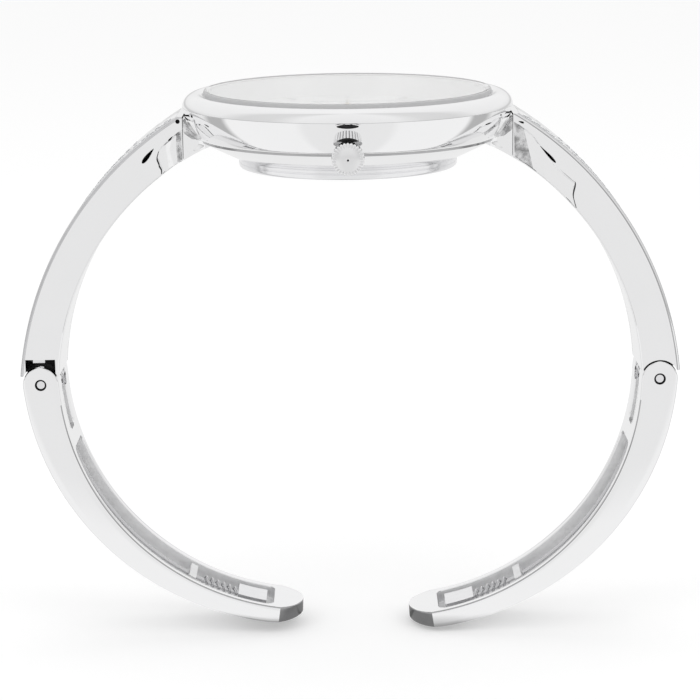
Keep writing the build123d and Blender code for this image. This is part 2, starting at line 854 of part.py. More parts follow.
def circuit_board():
    """The printed board around the bridge and the battery."""
    radius = module_radius - module_wall - slip_gap
    board = disc(radius, board_low, bridge_top)
    hole = extrude(bridge_outline(2 * seat_gap), amount=bridge_top)
    board -= Pos(0, 0, module_gap) * hole
    board -= disc(battery_radius + 2 * seat_gap, board_low - overrun, bridge_top + overrun,
                  0, battery_y)
    return board


def timing_chip():
    """The timekeeping chip under the board."""
    half = chip_size / 2
    x = module_radius - module_wall - chip_size - 2 * seat_gap
    y = battery_y / 2 - chip_size / 2
    return block(x - half, x + half, y - half, y + half, bridge_top, bridge_top + chip_height)


def quartz_can():
    """The metal can of the tuning-fork crystal, lying under the board."""
    x = -(module_radius - module_wall - battery_radius)
    height = bridge_top + quartz_can_radius
    half = quartz_can_length / 2
    return along_y(quartz_can_radius, battery_y / 2 - half, battery_y / 2 + half, x, height)


def battery():
    """The button cell."""
    low = module_bottom + clamp_thickness
    can = disc(battery_radius, low, low + battery_height, 0, battery_y)
    return chamfer(can.edges().group_by(Axis.Z)[0], clamp_thickness)


def battery_clamp():
    """The sprung strip that holds the cell and makes its contact."""
    half = clamp_width / 2
    reach = module_radius - module_wall - seat_gap
    strip = block(-half, half, battery_y - battery_radius, reach - seat_gap, module_bottom,
                  module_bottom + clamp_thickness)
    return strip


def coil_core():
    """The motor coil's iron core."""
    low = layer(3) - stator_thickness / 2
    return block(-coil_core_half_length, coil_core_half_length, -coil_offset - coil_core_half_width,
                 -coil_offset + coil_core_half_width, low - stator_thickness, low - press_gap)


def motor_coil():
    """The copper winding on the core."""
    low = layer(3) - stator_thickness / 2
    height = low - stator_thickness / 2
    winding = Cylinder(coil_radius, 2 * coil_half_length, rotation=(0, 90, 0))
    core = Box(2 * coil_half_length + overrun, 2 * coil_core_half_width + 2 * press_gap,
               stator_thickness + 2 * press_gap)
    return Pos(0, -coil_offset, height) * (winding - core)


def stator():
    """The iron plate round the rotor, with two legs to the coil's core."""
    low = layer(3) - stator_thickness / 2
    high = low + stator_thickness
    leg = stator_ring_radius - stator_gap
    end = -coil_offset - coil_core_half_width
    body = disc(stator_ring_radius, low, high, rotor_x, rotor_y)
    body += block(coil_half_length + seat_gap, coil_core_half_length, end, rotor_y, low, high)
    bar_y = rotor_y - leg
    body += block(-coil_core_half_length, rotor_x, bar_y, bar_y + leg / 2, low, high)
    body += block(-coil_core_half_length, -coil_half_length - seat_gap, end, bar_y + leg / 2,
                  low, high)
    return body - disc(rotor_radius + stator_gap, low - overrun, high + overrun, rotor_x, rotor_y)


def upper_band(depth_outer=0):
    """The upper arm's side outline, with its outside lowered by a depth."""
    outer = side_circle(upper_outer_x, upper_outer_z, upper_outer_radius - depth_outer)
    inner = side_circle(upper_inner_x, upper_inner_z, upper_inner_radius)
    left = upper_outer_x - upper_outer_radius - overrun
    area = side_face((left, hinge_z + pocket_lip_height), (arm_joint_x, hinge_z + pocket_lip_height),
                     (arm_joint_x, arm_top_height), (left, arm_top_height))
    return (outer - inner) & area


def strand_path(shift, x_low, x_high):
    """The plan of the polished strand's edge at a distance from its middle."""
    places = [x_low + (x_high - x_low) * step / strand_steps for step in range(strand_steps + 1)]
    points = [(x, strand_middle(x) + shift) for x in places]
    return Spline(*points, tangents=((1, 0), (1, 0)))


def over_strand():
    """The polished strand's plan, which crosses from the crown side to the far side."""
    x_low, x_high = strand_start_x - overrun * 2, strand_end_x + overrun
    near = strand_path(-strand_half_width, x_low, x_high)
    far = strand_path(strand_half_width, x_low, x_high)
    ends = [Line(near @ 0, far @ 0), Line(near @ 1, far @ 1)]
    return make_face([near, far, *ends])


def strand_middle(x):
    """How far the polished strand's middle lies from the arm's middle at a place along it."""
    turn = max(-1, min(1, (x - strand_cross_x) / strand_half_span))
    return strand_sway * math.sin(turn * math.pi / 2)


def stone_bed():
    """The sunk beds beside the polished strand that hold the stones."""
    outer = side_circle(upper_outer_x, upper_outer_z, upper_outer_radius + overrun)
    floor = side_circle(upper_outer_x, upper_outer_z, upper_outer_radius - strand_relief)
    low_z = upper_outer_z + upper_outer_radius / 4
    area = side_face((strand_start_x, low_z), (strand_end_x, low_z),
                     (strand_end_x, arm_top_height + overrun),
                     (strand_start_x, arm_top_height + overrun))
    bed = thick((outer - floor) & area, arm_half_width - strand_border)
    tall = Pos(0, 0, low_z) * extrude(over_strand(), amount=2 * upper_outer_radius)
    return bed - tall


def stone(x, y):
    """One cut stone, seated square to the arm's outside at a place in plan."""
    floor_radius = upper_outer_radius - strand_relief + press_gap
    lean = math.degrees(math.asin((x - upper_outer_x) / floor_radius))
    shape = extrude(RegularPolygon(stone_radius, stone_sides), amount=stone_height,
                    taper=stone_taper)
    spot = Pos(upper_outer_x, y, upper_outer_z) * Rot(0, lean, 0) * Pos(0, 0, floor_radius)
    return spot * shape


def pave_stones():
    """The stones of one arm, in rows that leave the polished strand free."""
    stones = Part()
    floor_radius = upper_outer_radius - strand_relief
    start = math.asin((strand_start_x + stone_pitch - upper_outer_x) / floor_radius)
    stop = math.asin((strand_end_x - stone_pitch / 2 - upper_outer_x) / floor_radius)
    count = int((stop - start) * floor_radius / stone_pitch)
    limit = arm_half_width - strand_border - stone_radius - stone_edge_gap
    clear = strand_half_width + stone_radius + stone_edge_gap
    for row in range(stone_rows):
        y = -limit + 2 * limit * row / (stone_rows - 1)
        for step in range(count):
            share = (step + row % 2 / 2) / (count - 1 / 2)
            x = upper_outer_x + floor_radius * math.sin(start + (stop - start) * share)
            if abs(y - strand_middle(x)) > clear:
                stones += stone(x, y)
    return stones


def valley(reach):
    """The hollow in an arm's flank between its S-shaped edge and the collar at the lug."""
    deck = side_circle(upper_outer_x, upper_outer_z, upper_outer_radius - valley_deck)
    right = arm_joint_x - valley_collar
    left = arm_joint_x - reach
    top = arm_top_height
    drop = top - reach - 2 * arm_half_width
    points = [(left - valley_sway, top), (left - valley_sway, top - reach),
              (left + valley_sway, (top + drop) / 2), (left - valley_sway, drop)]
    edge = Spline(*points)
    face = make_face([edge, *outline(points[-1], (right, drop), (right, top), points[0])])
    solid = thick((Plane.XZ * face) & deck, overrun)
    return Pos(0, -arm_half_width - overrun + valley_depth, 0) * solid


def upper_arm(reach):
    """The left upper arm: strands, valleys, hinge pockets and the tongue."""
    body = thick(upper_band(), arm_half_width)
    long_edges = body.edges().filter_by(lambda e: on_arc(e, upper_outer_radius))
    body = fillet(long_edges, edge_round)
    near = valley(reach)
    body -= near
    body -= mirror(near, about=Plane.XZ)
    body -= stone_bed()
    body -= case_envelope(seat_gap)
    bezel_gap = ring(case_radius + seat_gap, cavity_radius, seam_height - overrun,
                     bezel_top + overrun)
    body -= bezel_gap
    body -= lug_pins(-1, press_gap)
    body -= hinge_pockets()
    return body + tongue()


def on_arc(edge, radius):
    """Whether an edge is a stretch of the arc with this radius."""
    return edge.geom_type == GeomType.CIRCLE and abs(edge.radius - radius) < slip_gap


def hinge_pockets():
    """What the ears' rounded tops need on both sides of the tongue."""
    round_part = side_circle(hinge_x, hinge_z, ear_radius + pocket_gap)
    notch = side_face((hinge_x - pocket_half_width, hinge_z),
                      (hinge_x + pocket_half_width, hinge_z),
                      (hinge_x + pocket_half_width, hinge_z + pocket_ceiling),
                      (hinge_x - pocket_half_width, hinge_z + pocket_ceiling))
    cut = thick(round_part + notch, arm_half_width + overrun)
    return cut - thick(side_circle(hinge_x, hinge_z, pocket_ceiling * 2), tongue_half_width)


def tongue():
    """The knuckle between the ears, with the slot and the lobe for the pull rod's eye."""
    neck = side_face((hinge_x - neck_half_thickness, hinge_z),
                     (hinge_x + neck_half_thickness, hinge_z),
                     (hinge_x + neck_half_thickness, hinge_z + pocket_lip_height + seat_gap),
                     (hinge_x - neck_half_thickness, hinge_z + pocket_lip_height + seat_gap))
    knuckle = side_circle(hinge_x, hinge_z, knuckle_radius)
    lobe = side_circle(hinge_x + hook_offset, hinge_z, hook_lobe_radius)
    body = thick(neck + knuckle + lobe, tongue_half_width)
    body -= along_y(hinge_pin_radius + running_gap, -arm_half_width, arm_half_width,
                    hinge_x, hinge_z)
    eye_room = side_circle(hinge_x + hook_offset, hinge_z, eye_radius + 2 * eye_side_gap)
    below = side_face((hinge_x - neck_half_thickness, hinge_z),
                      (hinge_x - neck_half_thickness, hinge_z - ear_radius),
                      (hinge_x + ear_radius, hinge_z - ear_radius),
                      (hinge_x + ear_radius, hinge_z))
    boss = side_circle(hinge_x, hinge_z, hinge_pin_radius + running_gap + boss_wall)
    body -= thick(eye_room + below - boss, eye_half_width + eye_side_gap)
    return body - along_y(hook_pin_radius + press_gap, -arm_half_width, arm_half_width,
                          hinge_x + hook_offset, hinge_z)


def hook_pin():
    """The short pin in the tongue that pulls the rod."""
    half = tongue_half_width - seat_gap
    return along_y(hook_pin_radius, -half, half, hinge_x + hook_offset, hinge_z)


def hinge_pin():
    """The pin through the ears and the tongue, its ends a little below the flanks."""
    half = arm_half_width - hinge_pin_recess
    pin = along_y(hinge_pin_radius, -half, half, hinge_x, hinge_z)
    ends = pin.edges().filter_by(GeomType.CIRCLE)
    return chamfer(ends, hinge_pin_recess / 2)


def arc_place(radius, angle):
    """A place on a circle round the lower arm's inner centre, from its lowest direction."""
    turn = math.radians(angle)
    return lower_inner_x - radius * math.sin(turn), lower_inner_z - radius * math.cos(turn)


def arc_plane(radius, angle):
    """The plane square to that circle at an angle, its X away from the centre."""
    x, z = arc_place(radius, angle)
    turn = math.radians(angle)
    return Plane(origin=(x, 0, z), x_dir=(-math.sin(turn), 0, -math.cos(turn)),
                 z_dir=(-math.cos(turn), 0, math.sin(turn)))


def arc_sweep(section, start, stop):
    """A section swept round the lower arm's inner centre from one angle to another."""
    axis = Axis((lower_inner_x, 0, lower_inner_z), (0, 1, 0))
    face = arc_plane(rod_arc_radius, start) * section
    return revolve(face, axis, revolution_arc=stop - start)


def floor_disc():
    """The space inside the channel's floor."""
    radius = lower_outer_radius - floor_thickness
    return thick(side_circle(lower_outer_x, lower_outer_z, radius), arm_half_width + overrun)


def hollow(start, stop, half_width, corner):
    """A round-cornered opening in the lower arm's inside, down to the channel's floor."""
    deep = hollow_depth + 2 * overrun
    section = Pos(deep / 2 - rod_depth - overrun) * Rectangle(deep, 2 * half_width)
    cut = arc_sweep(section, start, stop)
    corners = cut.edges().filter_by(GeomType.LINE).filter_by(
        lambda e: abs(e.length - deep) < slip_gap)
    return fillet(corners, corner) & floor_disc()


def lower_side():
    """The lower arm's side outline with its ear."""
    outer = side_circle(lower_outer_x, lower_outer_z, lower_outer_radius)
    inner = side_circle(lower_inner_x, lower_inner_z, lower_inner_radius)
    left = lower_outer_x - lower_outer_radius - overrun
    low = lower_outer_z - lower_outer_radius - overrun
    area = side_face((left, hinge_z), (left, low), (tip_x, low),
                     (tip_x, lower_inner_z - lower_inner_radius / 2), (lower_inner_x, hinge_z))
    return (outer - inner) & area


def lower_plan():
    """The lower arm's plan, with the rounded tip."""
    left = hinge_x - overrun * 4
    flank = tip_x - tip_sagitta
    width = arm_half_width + overrun
    tip = ThreePointArc((flank, -tip_half_width), (tip_x, 0), (flank, tip_half_width))
    edges = outline((flank, tip_half_width), (flank, width), (left, width), (left, -width),
                    (flank, -width), (flank, -tip_half_width))
    face = make_face([tip, *edges])
    low = lower_outer_z - lower_outer_radius - overrun
    return Pos(0, 0, low) * extrude(face, amount=hinge_z - low + ear_radius + overrun)


def lower_flanks():
    """The space between the flanks, which close in slightly towards the tip."""
    low = lower_outer_z - lower_outer_radius
    high = hinge_z + ear_radius + overrun
    face = make_face(outline((-tip_half_width, low), (tip_half_width, low),
                             (arm_half_width, hinge_z), (arm_half_width, high),
                             (-arm_half_width, high), (-arm_half_width, hinge_z),
                             (-tip_half_width, low)))
    return extrude(Plane.YZ * face, amount=2 * hinge_x)


def lower_arm():
    """The left lower arm: ears, clevis slot, window, bridge, channel and solid tip."""
    body = thick(lower_side(), arm_half_width)
    body += thick(side_circle(hinge_x, hinge_z, ear_radius), arm_half_width)
    body &= lower_flanks()
    body &= lower_plan()
    body -= hollow(channel_start_angle, channel_end_angle, channel_half_width, channel_corner)
    body -= hollow(window_start_angle, hinge_angle, window_half_width, window_corner)
    slot = tongue_half_width + tongue_side_gap
    top = hinge_z - clevis_drop
    body -= block(hinge_x - 2 * ear_radius, hinge_x + 2 * ear_radius, -slot, slot, top,
                  hinge_z + 2 * ear_radius)
    body -= along_y(knuckle_radius + knuckle_gap, -slot, slot, hinge_x, hinge_z)
    body -= along_y(hinge_pin_radius + running_gap, -arm_half_width - overrun,
                    arm_half_width + overrun, hinge_x, hinge_z)
    tunnel = Circle(rod_radius + rod_clearance)
    return body - arc_sweep(tunnel, channel_end_angle - overrun_angle,
                            window_start_angle + overrun_angle)


def pull_rod():
    """The wire from the hook pin to the sliding block, with an eye at the hinge."""
    start = block_angle + math.degrees(block_length / 2 / rod_arc_radius)
    eye_angle = math.degrees(math.acos((lower_inner_z - hinge_z) / rod_arc_radius))
    stop = eye_angle - math.degrees((eye_bore + rod_radius / 2) / rod_arc_radius)
    wire = arc_sweep(Circle(rod_radius), start, stop)
    x = hinge_x + hook_offset
    wire += along_y(eye_radius, -eye_half_width, eye_half_width, x, hinge_z)
    return wire - along_y(eye_bore, -arm_half_width, arm_half_width, x, hinge_z)


def slider_block():
    """The block near the tip that the rod pulls against the spring."""
    half = math.degrees(block_length / 2 / rod_arc_radius)
    section = Rectangle(block_height, 2 * block_half_width)
    return arc_sweep(section, block_angle - half, block_angle + half)


def spring_start_angle():
    """Where the spring's first end meets the sliding block."""
    return block_angle + math.degrees((block_length / 2 + press_gap) / rod_arc_radius)


def spring_length():
    """The spring's length with its two straight ends."""
    return spring_turns * spring_pitch + 2 * spring_wire


def helix_point(turn):
    """A point on the spring's helix and its direction, after a number of turns."""
    angle = 2 * math.pi * turn
    radius = spring_radius
    point = Vector(radius * math.cos(angle), radius * math.sin(angle), spring_pitch * turn)
    slope = Vector(-2 * math.pi * radius * math.sin(angle), 2 * math.pi * radius * math.cos(angle),
                   spring_pitch)
    return point, slope.normalized()


def biarc(p0, t0, p1, t1):
    """Two arcs that join two points and keep both directions."""
    v = p1 - p0
    both = t0 + t1
    flat = 2 * (1 - t0.dot(t1))
    reach = (-v.dot(both) + math.sqrt(v.dot(both) ** 2 + flat * v.dot(v))) / flat
    middle = (p0 + p1 + (t0 - t1) * reach) * 0.5
    heading = (v - both * reach).normalized()
    return [Edge.make_tangent_arc(p0, t0, middle), Edge.make_tangent_arc(middle, heading, p1)]


def hinge_spring():
    """The wound spring between the block and its stop, one unbroken wire."""
    steps = 2 * spring_turns
    points = [helix_point(index / 2) for index in range(steps + 1)]
    edges = []
    first, first_way = points[0]
    edges.append(Edge.make_line(first - first_way * spring_wire, first))
    for (p0, t0), (p1, t1) in zip(points[:-1], points[1:]):
        edges += biarc(p0, t0, p1, t1)
    last, last_way = points[-1]
    edges.append(Edge.make_line(last, last + last_way * spring_wire))
    path = Wire(edges)
    section = Plane(origin=path @ 0, z_dir=first_way) * Circle(spring_wire / 2)
    coil = sweep(section, path=path)
    plane = arc_plane(rod_arc_radius, spring_start_angle())
    chord = math.degrees(spring_length() / 2 / rod_arc_radius)
    tilted = plane.rotated((0, chord, 0))
    return tilted * Pos(0, 0, spring_wire / 2) * coil


def spring_gap_to_itself():
    """The least gap between neighbouring turns, measured on points of the helix."""
    samples = 48 * spring_turns
    points = [helix_point(spring_turns * index / samples)[0] for index in range(samples + 1)]
    least = min((a - b).length for i, a in enumerate(points) for b in points[i + 24:])
    return least - spring_wire


def stop_angle():
    """The middle of the spring stop, clear of the spring by the rod's travel."""
    reach = spring_length() + rod_travel + stop_clearance + stop_length / 2
    return spring_start_angle() + math.degrees(reach / rod_arc_radius)


def spring_stop():
    """The fixed block that the spring bears on, with a hole for the rod."""
    half = math.degrees(stop_length / 2 / rod_arc_radius)
    section = Rectangle(block_height, 2 * stop_half_width) - Circle(rod_radius + rod_clearance)
    return arc_sweep(section, stop_angle() - half, stop_angle() + half)


def closed(body, angle):
    """A left lower piece turned shut about the hinge by a small angle."""
    to_hinge = Pos(hinge_x, 0, hinge_z)
    return to_hinge * Rot(0, -angle, 0) * Pos(-hinge_x, 0, -hinge_z) * body


def arm_pieces():
    """Every piece of both arms, the right one mirrored from the left."""
    lower = {"lower_arm": lower_arm(), "pull_rod": pull_rod(), "slider_block": slider_block(),
             "hinge_spring": hinge_spring(), "spring_stop": spring_stop(),
             "hinge_pin": hinge_pin()}
    upper = {"pave_stones": pave_stones(), "hook_pin": hook_pin()}
    pieces = {}
    for name, angle, reach in (("left", left_closed_angle, left_valley_reach),
                               ("right", right_closed_angle, right_valley_reach)):
        placed = {key: closed(body, angle) for key, body in lower.items()}
        placed |= upper | {"upper_arm": upper_arm(reach), "lug_pins": lug_pins(-1)}
        for key, body in placed.items():
            pieces[f"{name}_{key}"] = body if name == "left" else mirror(body, about=Plane.YZ)
    return pieces


def watch_pieces():
    """Every piece of the watch head."""
    makers = (case_body, bezel, crystal, crystal_gasket, case_back, case_back_gasket, dial_ring,
              dial, hour_markers, hour_hand, minute_hand, second_hand, movement_holder,
              main_plate, setting_slide, stem, sliding_pinion, crown, crown_gasket, crown_tube,
              seconds_wheel, third_wheel, intermediate_wheel, rotor, centre_wheel,
              cannon_pinion, minute_wheel, hour_wheel, setting_wheel, train_bridge,
              bridge_screws, circuit_board, timing_chip, quartz_can, battery, battery_clamp,
              coil_core, motor_coil, stator)
    return {maker.__name__: maker() for maker in makers}


def print_places():
    """The joint places and the ratio that the arms' mechanism works out to."""
    for name, angle, side in (("left", left_closed_angle, 1), ("right", right_closed_angle, -1)):
        turn = math.radians(-angle)
        dx, dz = lower_inner_x - hinge_x, lower_inner_z - hinge_z
        x = hinge_x + dx * math.cos(turn) + dz * math.sin(turn)
        z = hinge_z - dx * math.sin(turn) + dz * math.cos(turn)
        print(name, "hinge", side * hinge_x, hinge_z, "rod centre", round(side * x, 4),
              round(z, 4))
    print("rod turn per hinge turn", round(rod_turn / hinge_range, 6), "travel", rod_travel)
    print("spring least gap to itself", round(spring_gap_to_itself(), 3))
    print("third", third_x, third_y, "intermediate", intermediate_x, intermediate_y)
    print("rotor", rotor_x, rotor_y, "stem height", stem_height)


for node, body in (watch_pieces() | arm_pieces()).items():
    export_step(body, f"parts/{node}.step")
print_places()
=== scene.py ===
"""Dresses the bangle watch: polished steel, glass, stones, dial and a white stage."""

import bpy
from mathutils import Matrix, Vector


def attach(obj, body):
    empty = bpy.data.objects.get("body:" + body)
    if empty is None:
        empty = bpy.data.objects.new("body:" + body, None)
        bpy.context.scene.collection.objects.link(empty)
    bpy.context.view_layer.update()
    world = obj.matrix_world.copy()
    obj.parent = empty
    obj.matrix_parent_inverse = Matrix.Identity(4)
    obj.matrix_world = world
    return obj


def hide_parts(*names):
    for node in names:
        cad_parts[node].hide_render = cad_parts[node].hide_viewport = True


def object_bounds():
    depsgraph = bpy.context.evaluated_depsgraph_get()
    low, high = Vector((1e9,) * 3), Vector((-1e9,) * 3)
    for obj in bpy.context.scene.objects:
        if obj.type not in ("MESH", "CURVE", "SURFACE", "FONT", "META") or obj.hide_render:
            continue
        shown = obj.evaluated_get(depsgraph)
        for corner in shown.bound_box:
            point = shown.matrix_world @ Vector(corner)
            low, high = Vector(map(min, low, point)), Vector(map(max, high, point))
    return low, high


bl_info = {
    "name": "Bangle watch",
    "version": (1, 0, 0),
    "blender": (4, 5, 0),
    "location": "View3D > Sidebar > Bangle watch",
    "description": "Dresses the bangle watch's solids with polished steel, glass and stones",
    "category": "Object",
}

import math
from functools import partial

import bpy
from bpy.props import FloatProperty, FloatVectorProperty, IntProperty, PointerProperty
from mathutils import Vector

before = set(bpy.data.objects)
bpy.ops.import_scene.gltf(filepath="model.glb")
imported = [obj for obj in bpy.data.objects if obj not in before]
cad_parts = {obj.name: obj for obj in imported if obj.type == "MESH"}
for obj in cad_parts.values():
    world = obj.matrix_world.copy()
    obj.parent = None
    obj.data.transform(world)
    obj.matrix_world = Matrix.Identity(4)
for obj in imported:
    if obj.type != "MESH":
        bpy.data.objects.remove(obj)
cad_box = [list(corner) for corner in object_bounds()]
MM = 0.001


# Sizes that a user would change

def length(label, about, value):
    """A size property in metres from a value in millimetres."""
    return FloatProperty(name=label, description=about, default=value * MM, min=0,
                         precision=5, unit="LENGTH")


def colour(label, about, value):
    """A colour property."""
    return FloatVectorProperty(name=label, description=about, default=value, size=3,
                               min=0, max=1, subtype="COLOR")


class WatchHeadSizes(bpy.types.PropertyGroup):
    """Sizes of the case, the bezel, the glass and the crown."""
    case_radius: length("Case radius", "Outside radius of the case at the bezel seam", 16.6)
    step_radius: length("Step radius", "Radius of the dark line round the lower case", 15.1)
    back_radius: length("Back radius", "Radius of the case back", 11.0)
    seam_height: length("Seam height", "Height of the seam under the bezel", 6.2)
    step_height: length("Step height", "Height of the dark line round the lower case", 3.12)
    seat_height: length("Seat height", "Height at which the back meets the case", 0.95)
    bezel_top: length("Bezel top", "Height of the bezel's lip", 7.35)
    glass_radius: length("Glass radius", "Radius of the crystal", 14.45)
    glass_low: length("Glass underside", "Height of the crystal's underside", 6.65)
    glass_top: length("Glass top", "Height of the crystal's top", 7.75)
    well_radius: length("Dial well radius", "Radius of the well that holds the dial", 13.9)
    dial_low: length("Dial underside", "Height of the dial's underside", 4.08)
    dial_top: length("Dial top", "Height of the dial's top", 4.48)
    crown_radius: length("Crown radius", "Radius of the crown over its flutes", 1.55)
    crown_end: length("Crown end", "How far the crown's dome reaches from the middle", 18.3)
    crown_start: length("Crown start", "How far the crown's inner face is from the middle", 16.2)
    crown_height: length("Crown height", "Height of the crown's axis", 2.98)
    crown_flutes: IntProperty(name="Crown flutes", description="Flutes round the crown",
                              default=28, min=8, max=40)


class ArmSizes(bpy.types.PropertyGroup):
    """Sizes of the two half bangles."""
    half_width: length("Half width", "Half of the bangle's width", 4.0)
    tip_half_width: length("Tip half width", "Half of the width at the tips", 3.65)
    strand_half_width: length("Strand half width", "Half of the polished strand's width", 1.7)
    strand_sway: length("Strand sway", "How far the strand swings to each side", 1.9)
    relief: length("Stone bed depth", "How deep the stones' beds are sunk", 0.35)
    valley_depth: length("Fold depth", "How deep the fold beside the lug is", 0.6)
    left_fold: length("Left fold reach", "How far the left arm's fold reaches", 2.4)
    right_fold: length("Right fold reach", "How far the right arm's fold reaches", 6.1)
    floor_thickness: length("Channel floor", "Steel left under the channel", 0.55)
    channel_half_width: length("Channel half width", "Half of the channel's width", 2.85)
    window_half_width: length("Window half width", "Half of the window's width", 1.3)
    edge_round: length("Edge round", "Rounding of the long outer edges", 0.34)


class WatchFinish(bpy.types.PropertyGroup):
    """Colours and gloss of the finishes."""
    steel: colour("Polished steel", "Colour of the polished steel", (0.93, 0.93, 0.935))
    cast: colour("Cast steel", "Colour of the channel's cast floor", (0.9, 0.9, 0.905))
    dial: colour("Dial", "Colour of the dial's lacquer", (0.93, 0.93, 0.925))
    stone: colour("Stone", "Tint of the stones", (0.97, 0.98, 1.0))
    brass: colour("Brass", "Colour of the train's brass", (0.82, 0.66, 0.36))
    polish: FloatProperty(name="Polish", description="Roughness of the polished steel",
                          default=0.045, min=0, max=1, subtype="FACTOR")


class StageSettings(bpy.types.PropertyGroup):
    """The camera, the floor and the light."""
    camera_place: FloatVectorProperty(name="Camera", description="Where the camera stands",
                                      default=(0, -0.23111, 0.033247), size=3, unit="LENGTH",
                                      subtype="TRANSLATION")
    camera_aim: FloatVectorProperty(name="Aim", description="Where the camera looks",
                                    default=(0, 0, -0.01927), size=3, unit="LENGTH",
                                    subtype="TRANSLATION")
    camera_roll: FloatProperty(name="Roll", description="Turn of the camera about its view",
                               default=math.radians(-0.6), subtype="ANGLE")
    lens: FloatProperty(name="Lens", description="Focal length in millimetres for a 36 mm frame",
                        default=118.3, min=10)
    sky: FloatProperty(name="Sky", description="Strength of the even light from all round",
                       default=0.85, min=0)
    lamp: FloatProperty(name="Lamp power", description="Power of each soft lamp in watts",
                        default=0.16, min=0, unit="POWER")


# Places that the head and the arms share, in millimetres. An arc is the X, Z and radius of a
# circle of the left arm, and the right arm mirrors it

UPPER_IN = (-1.8237, -22.5922, 27.8)
UPPER_OUT = (1.2172, -24.3540, 34.9144)
LOWER_IN = (-4.1703, -20.9974, 25.45)
LOWER_OUT = (-4.9656, -19.7034, 28.3922)
HINGE = (-31.46, -21.72)
EAR_RADIUS = 1.83
JOINT_X = -16.4
ARM_TOP = 5.45
LUG_TOP = 5.3
# How much more shut than the mean each lower arm hangs, in degrees
CLOSED = {-1: 0.85, 1: -0.85}
# The smallest radius or width of a point, so that no edge is without a length
POINT = 0.012


# Plain helpers of the workshop

def head():
    return bpy.context.scene.watch_head


def arms():
    return bpy.context.scene.watch_arms


def finish():
    return bpy.context.scene.watch_finish


def in_mm(value):
    return value / MM


def rest():
    """Leaves edit mode and lets go of everything."""
    if bpy.context.object is not None and bpy.context.object.mode != "OBJECT":
        bpy.ops.object.mode_set(mode="OBJECT")
    bpy.ops.object.select_all(action="DESELECT")


def hold(piece):
    """Makes one piece the only selected and the active one."""
    rest()
    piece.select_set(True)
    bpy.context.view_layer.objects.active = piece


def edit(piece):
    """Opens one piece for editing with all of it selected."""
    hold(piece)
    bpy.ops.object.mode_set(mode="EDIT")
    bpy.ops.mesh.select_all(action="SELECT")


def moved(piece, step):
    """Moves a piece's shape by a step in metres."""
    edit(piece)
    bpy.ops.transform.translate(value=step)
    rest()
    return piece


def swung(piece, axis, angle, centre=(0, 0, 0)):
    """Turns a piece's shape about an axis through a centre."""
    edit(piece)
    bpy.ops.transform.rotate(value=angle, orient_axis=axis, center_override=centre)
    rest()
    return piece


def started(name):
    """Names the primitive just added and puts its place into its mesh."""
    piece = bpy.context.object
    piece.name = name
    piece.data.name = name
    bpy.ops.object.transform_apply(location=True, rotation=True, scale=True)
    return piece


def close_up(piece, merge=1e-8):
    """Merges doubles, closes open ends and turns the faces outwards."""
    edit(piece)
    bpy.ops.mesh.remove_doubles(threshold=merge)
    bpy.ops.mesh.select_all(action="DESELECT")
    bpy.ops.mesh.select_non_manifold()
    bpy.ops.mesh.fill_holes(sides=0)
    bpy.ops.mesh.select_all(action="SELECT")
    bpy.ops.mesh.dissolve_degenerate(threshold=merge)
    bpy.ops.mesh.select_all(action="SELECT")
    bpy.ops.mesh.normals_make_consistent(inside=False)
    rest()
    return piece


def smooth(piece, angle=35):
    """Shades a piece smooth, with sharp edges where it turns by more than the angle."""
    hold(piece)
    bpy.ops.object.shade_smooth_by_angle(angle=math.radians(angle))
    rest()
    return piece


def apply_modifier(piece, kind, **settings):
    """Adds one modifier with its settings and applies it."""
    hold(piece)
    modifier = piece.modifiers.new(kind.title(), kind)
    for key, value in settings.items():
        setattr(modifier, key, value)
    bpy.ops.object.modifier_apply(modifier=modifier.name)
    rest()
    return piece


def carve(piece, cutter, operation="DIFFERENCE", mark=0):
    """Cuts a piece with another one, which is then thrown away; its faces get a mark."""
    for face in cutter.data.polygons:
        face.material_index = mark
    apply_modifier(piece, "BOOLEAN", operation=operation, object=cutter, solver="EXACT")
    bpy.data.objects.remove(cutter)
    return piece


def joined(name, pieces):
    """Joins pieces into one object."""
    hold(pieces[0])
    for piece in pieces[1:]:
        piece.select_set(True)
    bpy.ops.object.join()
    whole = bpy.context.object
    whole.name = name
    rest()
    return whole


def painted(piece, materials):
    """Gives a piece its materials, each to the faces that carry its number."""
    faces = piece.data.polygons
    marks = [0] * len(faces)
    faces.foreach_get("material_index", marks)
    piece.data.materials.clear()
    for material in materials:
        piece.data.materials.append(material)
    faces.foreach_set("material_index", [min(mark, len(materials) - 1) for mark in marks])
    return piece


def wear_on(piece, body, slot, *nodes, materials=()):
    """Gives a piece its finish, its body and the nodes that it stands for."""
    painted(piece, materials)
    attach(piece, body)
    if nodes:
        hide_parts(*nodes)
    return piece


def bend(start, middle, end, steps):
    """Places along the arc through three places, both ends among them."""
    (ax, ay), (bx, by), (cx, cy) = start, middle, end
    twice = 2 * (ax * (by - cy) + bx * (cy - ay) + cx * (ay - by))
    a2, b2, c2 = ax ** 2 + ay ** 2, bx ** 2 + by ** 2, cx ** 2 + cy ** 2
    x = (a2 * (by - cy) + b2 * (cy - ay) + c2 * (ay - by)) / twice
    y = (a2 * (cx - bx) + b2 * (ax - cx) + c2 * (bx - ax)) / twice
    radius = math.hypot(ax - x, ay - y)
    first, last = math.atan2(ay - y, ax - x), math.atan2(cy - y, cx - x)
    turn = (last - first + math.pi) % (2 * math.pi) - math.pi
    return [(x + radius * math.cos(first + turn * k / steps),
             y + radius * math.sin(first + turn * k / steps)) for k in range(steps + 1)]


def eased(value):
    """A smooth step from 0 to 1."""
    value = max(0.0, min(1.0, value))
    return value * value * (3 - 2 * value)


